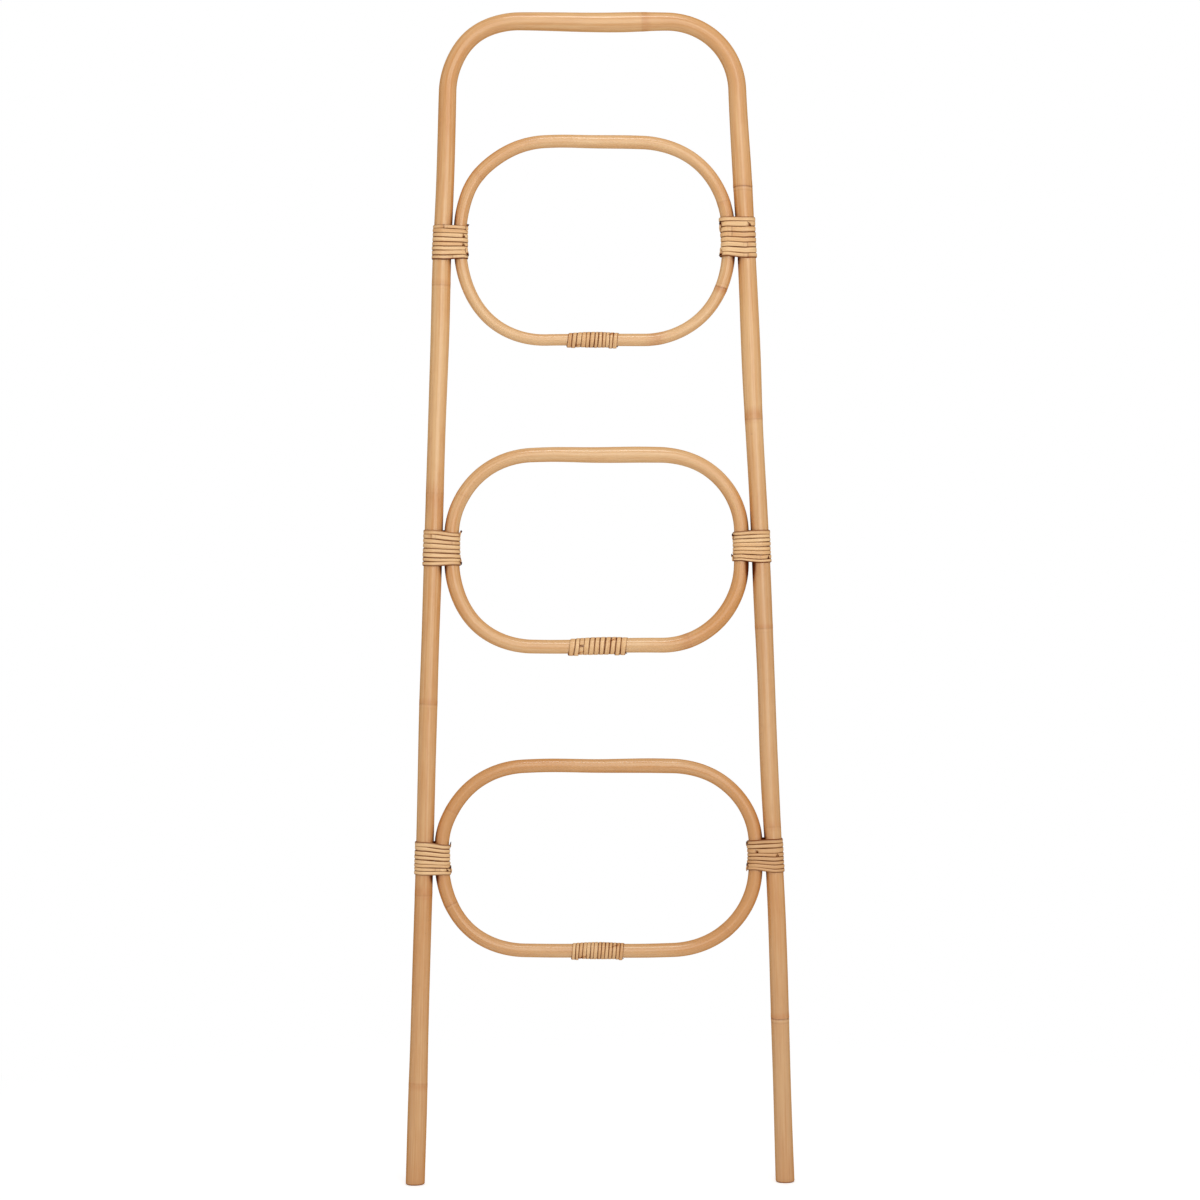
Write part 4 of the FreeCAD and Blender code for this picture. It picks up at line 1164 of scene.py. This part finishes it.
class Finish:
    """A material's nodes, or the world's."""

    MIX_COLOURS = {"factor": 0, "first": 6, "second": 7, "result": 2}

    def __init__(self, holder):
        holder.use_nodes = True
        self.holder = holder
        self.tree = holder.node_tree
        self.tree.nodes.clear()

    def node(self, kind, inputs, output=0, **settings):
        """A node of any kind: its settings first, then the values or links of its sockets."""
        made = self.tree.nodes.new(kind)
        for setting, value in settings.items():
            setattr(made, setting, value)
        for name, value in inputs.items():
            if isinstance(value, Value):
                self.tree.links.new(value.socket, made.inputs[name])
            else:
                made.inputs[name].default_value = value
        return Value(self, made.outputs[output]) if made.outputs else None

    def mark(self, name, output="Fac"):
        """A value that the mesh holds at its points."""
        return self.node("ShaderNodeAttribute", {}, output, attribute_name=name)

    def scaled(self, vector, scale):
        return self.node("ShaderNodeVectorMath", {0: vector, 1: scale}, operation="MULTIPLY")

    def noise(self, vector, scale, detail=2.0):
        """Noise from 0 to 1, with its own scale along, across and through the grain, per metre."""
        inputs = {"Vector": self.scaled(vector, scale), "Scale": 1.0, "Detail": detail}
        return self.node("ShaderNodeTexNoise", inputs)

    def cells(self, vector, scale):
        """Distances from the middles of scattered cells, with the same three scales."""
        return self.node("ShaderNodeTexVoronoi", {"Vector": self.scaled(vector, scale), "Scale": 1.0})

    def mix(self, factor, first, second):
        """One colour over another."""
        sockets = self.MIX_COLOURS
        inputs = {sockets["factor"]: factor, sockets["first"]: first, sockets["second"]: second}
        return self.node("ShaderNodeMix", inputs, sockets["result"], data_type="RGBA")

    def bump(self, height, distance):
        return self.node("ShaderNodeBump", {"Height": height, "Distance": distance})

    def principled(self, **sockets):
        """A surface by its sockets' names, and the material that shows it."""
        named = {name.replace("_", " "): value for name, value in sockets.items()}
        return self.shown(self.node("ShaderNodeBsdfPrincipled", named))

    def shown(self, shader, output="ShaderNodeOutputMaterial"):
        self.node(output, {"Surface": shader})
        return self.holder

    def seen_directly(self):
        """1 for what the camera sees straight, in a reflection or through glass."""
        kinds = ("Camera", "Glossy", "Transmission")
        straight, glossy, clear = (self.node("ShaderNodeLightPath", {}, f"Is {kind} Ray") for kind in kinds)
        return straight.math("MAXIMUM", glossy).math("MAXIMUM", clear)


# Colours of old rattan, of its stains and of the painted shade with dirt in its crevices, and of tarnish
DUST = tone(196, 147, 100)
NODE_STAIN_AND_SHADE_ORANGE = tone(194, 122, 62)
NODE_BROWN = tone(108, 60, 30)
NODE_STRAW = tone(238, 208, 166)
NODE_TAN = tone(150, 92, 50)
SPECK_BROWN = tone(122, 74, 40)
STAIN_AND_SHADE_BROWN = tone(114, 48, 16)
STAIN_AND_SHADE_DARK = tone(58, 30, 18)
END_STRAW = tone(206, 160, 108)
PORE_BROWN = tone(118, 76, 44)
TARNISH = tone(128, 112, 88)


def rattan_finish(name, pale, deep, brown, streaks, roughness, gloss):
    """Polished rattan: long fibres under a satin skin, stained nodes, crevices of painted shade and dirt,
    open end grain.
    """
    finish = Finish(bpy.data.materials.new(name))
    grain = finish.mark("grain", "Vector")
    node_gap = finish.mark("node_gap")
    node_mark = finish.mark("node_mark")
    stain = finish.mark("stain")
    cut = finish.mark("cut")
    dull = finish.mark("dull")

    drift = finish.noise(grain, (5.0, 45.0, 45.0), 3.0)
    blotch = finish.noise(grain, (28.0, 130.0, 130.0), 3.0)
    strand = finish.noise(grain, (6.0, 420.0, 420.0))
    fibre = finish.noise(grain, (14.0, 1100.0, 1100.0), 3.0)
    hair = finish.noise(grain, (40.0, 2600.0, 2600.0))

    depth = finish.mark("deep") + (drift - 0.5) * 0.9 + (blotch - 0.5) * 0.6 + (strand - 0.5) * 1.6
    colour = finish.mix(depth, pale, deep)
    colour = finish.mix(dull * 0.55, colour, DUST)
    colour = finish.mix((fibre.ramp(0.52, 0.72) + hair.ramp(0.58, 0.75) * 0.5) * streaks, colour, brown)

    # Orange beside the nodes is their own stain; beside crevices and peel edges it is painted shade with dirt
    patchy = finish.noise(grain, (60.0, 170.0, 170.0)).ramp(0.25, 0.7)
    warm = finish.mark("warm") * (0.5 + 0.5 * patchy)
    colour = finish.mix(warm * 0.85, colour, NODE_STAIN_AND_SHADE_ORANGE)
    line = node_gap.bell(0.9 * MM) * node_mark * (0.4 + 0.6 * patchy)
    colour = finish.mix(line * 0.95, colour, NODE_BROWN)
    pale_line = (node_gap + 2.6 * MM).bell(1 * MM) * node_mark
    colour = finish.mix(pale_line * 0.32, colour, NODE_STRAW)
    second_line = (node_gap + 5.8 * MM).bell(0.7 * MM) * node_mark
    colour = finish.mix(second_line * 0.3, colour, NODE_TAN)

    chosen = finish.noise(grain, (9.0, 35.0, 35.0), 1.0).ramp(0.62, 0.66)
    speck = finish.cells(grain, (30.0, 60.0, 60.0)).ramp(0.07, 0.03) * chosen
    colour = finish.mix(speck * 0.6, colour, SPECK_BROWN)

    # Brown, then darker brown: painted shade with dirt in crevices, peel grooves and along lashing rims,
    # painted shadow at cut ends, and darker tail ends and foot rims
    stained = stain.ramp(0.0, 1.0)
    colour = finish.mix(stain * 0.94, colour, STAIN_AND_SHADE_BROWN)
    colour = finish.mix(stain.ramp(1.0, 1.5), colour, STAIN_AND_SHADE_DARK)
    pore = finish.cells(grain, (0.0, 900.0, 900.0)).ramp(0.28, 0.12)
    colour = finish.mix(cut, colour, finish.mix(pore, END_STRAW, PORE_BROWN))

    worn = finish.noise(grain, (22.0, 220.0, 220.0), 3.0)
    rough = roughness + worn * 0.16 + stained * 0.45 + dull * 0.08
    lumps = finish.noise(grain, (90.0, 120.0, 120.0))
    normal = finish.bump(fibre * 0.4 + hair * 0.2 + lumps * 0.35 - cut * pore, 0.16 * MM)
    grazing = finish.node("ShaderNodeLayerWeight", {"Blend": 0.5}, "Facing").ramp(0.2, 0.6)
    coat = gloss * (1 - stained) * (1 - grazing)
    return finish.principled(Base_Color=colour, Roughness=rough, Normal=normal, Specular_IOR_Level=0.0,
                             Coat_Weight=coat, Coat_Roughness=0.25, Coat_IOR=1.62)


def steel_finish(name, colour, roughness):
    """Plated wire steel: fine drawing lines and a little tarnish."""
    finish = Finish(bpy.data.materials.new(name))
    place = finish.node("ShaderNodeTexCoord", {}, "Object")
    lines = finish.noise(place, (300.0, 3500.0, 300.0), 3.0)
    tarnish = finish.noise(place, (260.0, 260.0, 260.0), 3.0)
    tint = finish.mix(tarnish.ramp(0.45, 0.7) * 0.6, colour, TARNISH)
    rough = roughness + lines * 0.15 + tarnish * 0.15
    normal = finish.bump(lines, 0.03 * MM)
    return finish.principled(Base_Color=tint, Metallic=1.0, Roughness=rough, Normal=normal)


POLE_FINISH = rattan_finish("rattan_pole", tone(229, 182, 126), tone(209, 145, 80), tone(170, 105, 54),
                            streaks=0.22, roughness=0.32, gloss=0.95)
ROD_FINISH = rattan_finish("rattan_rod", tone(230, 186, 133), tone(211, 148, 83), tone(172, 109, 58),
                           streaks=0.22, roughness=0.32, gloss=0.95)
PEEL_FINISH = rattan_finish("rattan_peel", tone(244, 202, 149), tone(223, 168, 110), tone(166, 100, 54),
                            streaks=0.3, roughness=0.36, gloss=0.5)
SCREW_FINISH = steel_finish("screw_steel", tone(190, 186, 176), 0.3)
BRAD_FINISH = steel_finish("brad_steel", tone(166, 164, 160), 0.32)


# The stand's pieces


def place_piece(piece, node):
    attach(piece, "root")
    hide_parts(node)


def dress(node, finish):
    """A new finish on a piece that is kept as it is."""
    materials = frame["nodes"][node].data.materials
    materials.clear()
    materials.append(finish)


place_piece(make_pole(POLE_FINISH), "frame_pole")
for level in LEVELS:
    place_piece(make_ring(level, ROD_FINISH), f"{level}_ring")
    bindings = [*(Lashing(level, side) for side in SIDES), Wrap(level)]
    for binding in bindings:
        place_piece(binding.make(PEEL_FINISH), binding.name)
    place_piece(make_tacks(level, bindings, BRAD_FINISH), f"{level}_binding_tacks")
    for side in SIDES:
        dress(f"{level}_{side}_screw", SCREW_FINISH)
    dress(f"{level}_splice_brads", BRAD_FINISH)


# The floor, the light and the camera

FLOOR_REACH = 40.0
FLOOR_TONE = (0.88, 0.88, 0.88, 1)
WHITE = (1, 1, 1, 1)
FLOOR_GLOW = 0.42
FLOOR_FADE = (0.5, 1.5)
SKY_LIGHT = 0.52
LAMP_AIM = (0, 0, 0.9)
# Each lamp's place, width, height and power
LAMPS = {
    "front_lamp": ((0.7, -3.3, 1.75), 3.0, 3.0, 45),
    "top_lamp": ((0.05, -1.7, 4.0), 1.2, 0.4, 18),
    "back_lamp": ((-0.7, 3.6, 1.9), 2.4, 2.4, 20),
}
CAMERA_PLACE = (4.8 * MM, -4.5, 845.4 * MM)
CAMERA_ROLL = math.radians(-0.387)
FRAME_WIDTH = 1.74
SENSOR = 36


def make_floor():
    """A white floor that fades into the background and still takes the stand's shadow."""
    corners = [(x * FLOOR_REACH, y * FLOOR_REACH, 0) for x, y in ((-1, -1), (1, -1), (1, 1), (-1, 1))]
    mesh = bpy.data.meshes.new("floor")
    mesh.from_pydata(corners, [], [(0, 1, 2, 3)])
    floor = bpy.data.objects.new("floor", mesh)
    bpy.context.scene.collection.objects.link(floor)
    finish = Finish(bpy.data.materials.new("studio_floor"))
    paper = finish.node("ShaderNodeBsdfDiffuse", {"Color": FLOOR_TONE})
    glow = finish.node("ShaderNodeEmission", {"Color": WHITE, "Strength": FLOOR_GLOW})
    bright = finish.node("ShaderNodeAddShader", {0: paper, 1: glow})
    white = finish.node("ShaderNodeEmission", {"Color": WHITE, "Strength": 1.0})
    place = finish.node("ShaderNodeNewGeometry", {}, "Position")
    distance = finish.node("ShaderNodeVectorMath", {0: place}, "Value", operation="LENGTH")
    faded = finish.node("ShaderNodeMixShader", {0: distance.ramp(*FLOOR_FADE), 1: bright, 2: white})
    mixed = finish.node("ShaderNodeMixShader", {0: finish.seen_directly(), 1: paper, 2: faded})
    mesh.materials.append(finish.shown(mixed))


def light_room():
    """White all round for the eye, soft even light from it, and lamps in front, above and behind."""
    world = bpy.data.worlds.new("studio")
    bpy.context.scene.world = world
    finish = Finish(world)
    lit = finish.node("ShaderNodeBackground", {"Color": WHITE, "Strength": SKY_LIGHT})
    white = finish.node("ShaderNodeBackground", {"Color": WHITE, "Strength": 1.0})
    mixed = finish.node("ShaderNodeMixShader", {0: finish.seen_directly(), 1: lit, 2: white})
    finish.shown(mixed, "ShaderNodeOutputWorld")
    for name, (place, width, height, power) in LAMPS.items():
        light = bpy.data.lights.new(name, "AREA")
        light.shape = "RECTANGLE"
        light.size = width
        light.size_y = height
        light.energy = power
        lamp = bpy.data.objects.new(name, light)
        lamp.location = place
        lamp.rotation_euler = (Vector(LAMP_AIM) - Vector(place)).to_track_quat("-Z", "Y").to_euler()
        bpy.context.scene.collection.objects.link(lamp)


def place_camera():
    """Straight in front, with the small roll of a hand-held picture."""
    lens = bpy.data.cameras.new("camera")
    lens.sensor_width = SENSOR
    lens.lens = SENSOR * -CAMERA_PLACE[1] / FRAME_WIDTH
    camera = bpy.data.objects.new("camera", lens)
    facing = Matrix.Rotation(math.pi / 2, 4, "X") @ Matrix.Rotation(CAMERA_ROLL, 4, "Z")
    camera.matrix_world = Matrix.Translation(CAMERA_PLACE) @ facing
    bpy.context.scene.collection.objects.link(camera)
    bpy.context.scene.camera = camera


make_floor()
light_room()
place_camera()
bpy.context.scene.view_settings.view_transform = "Standard"
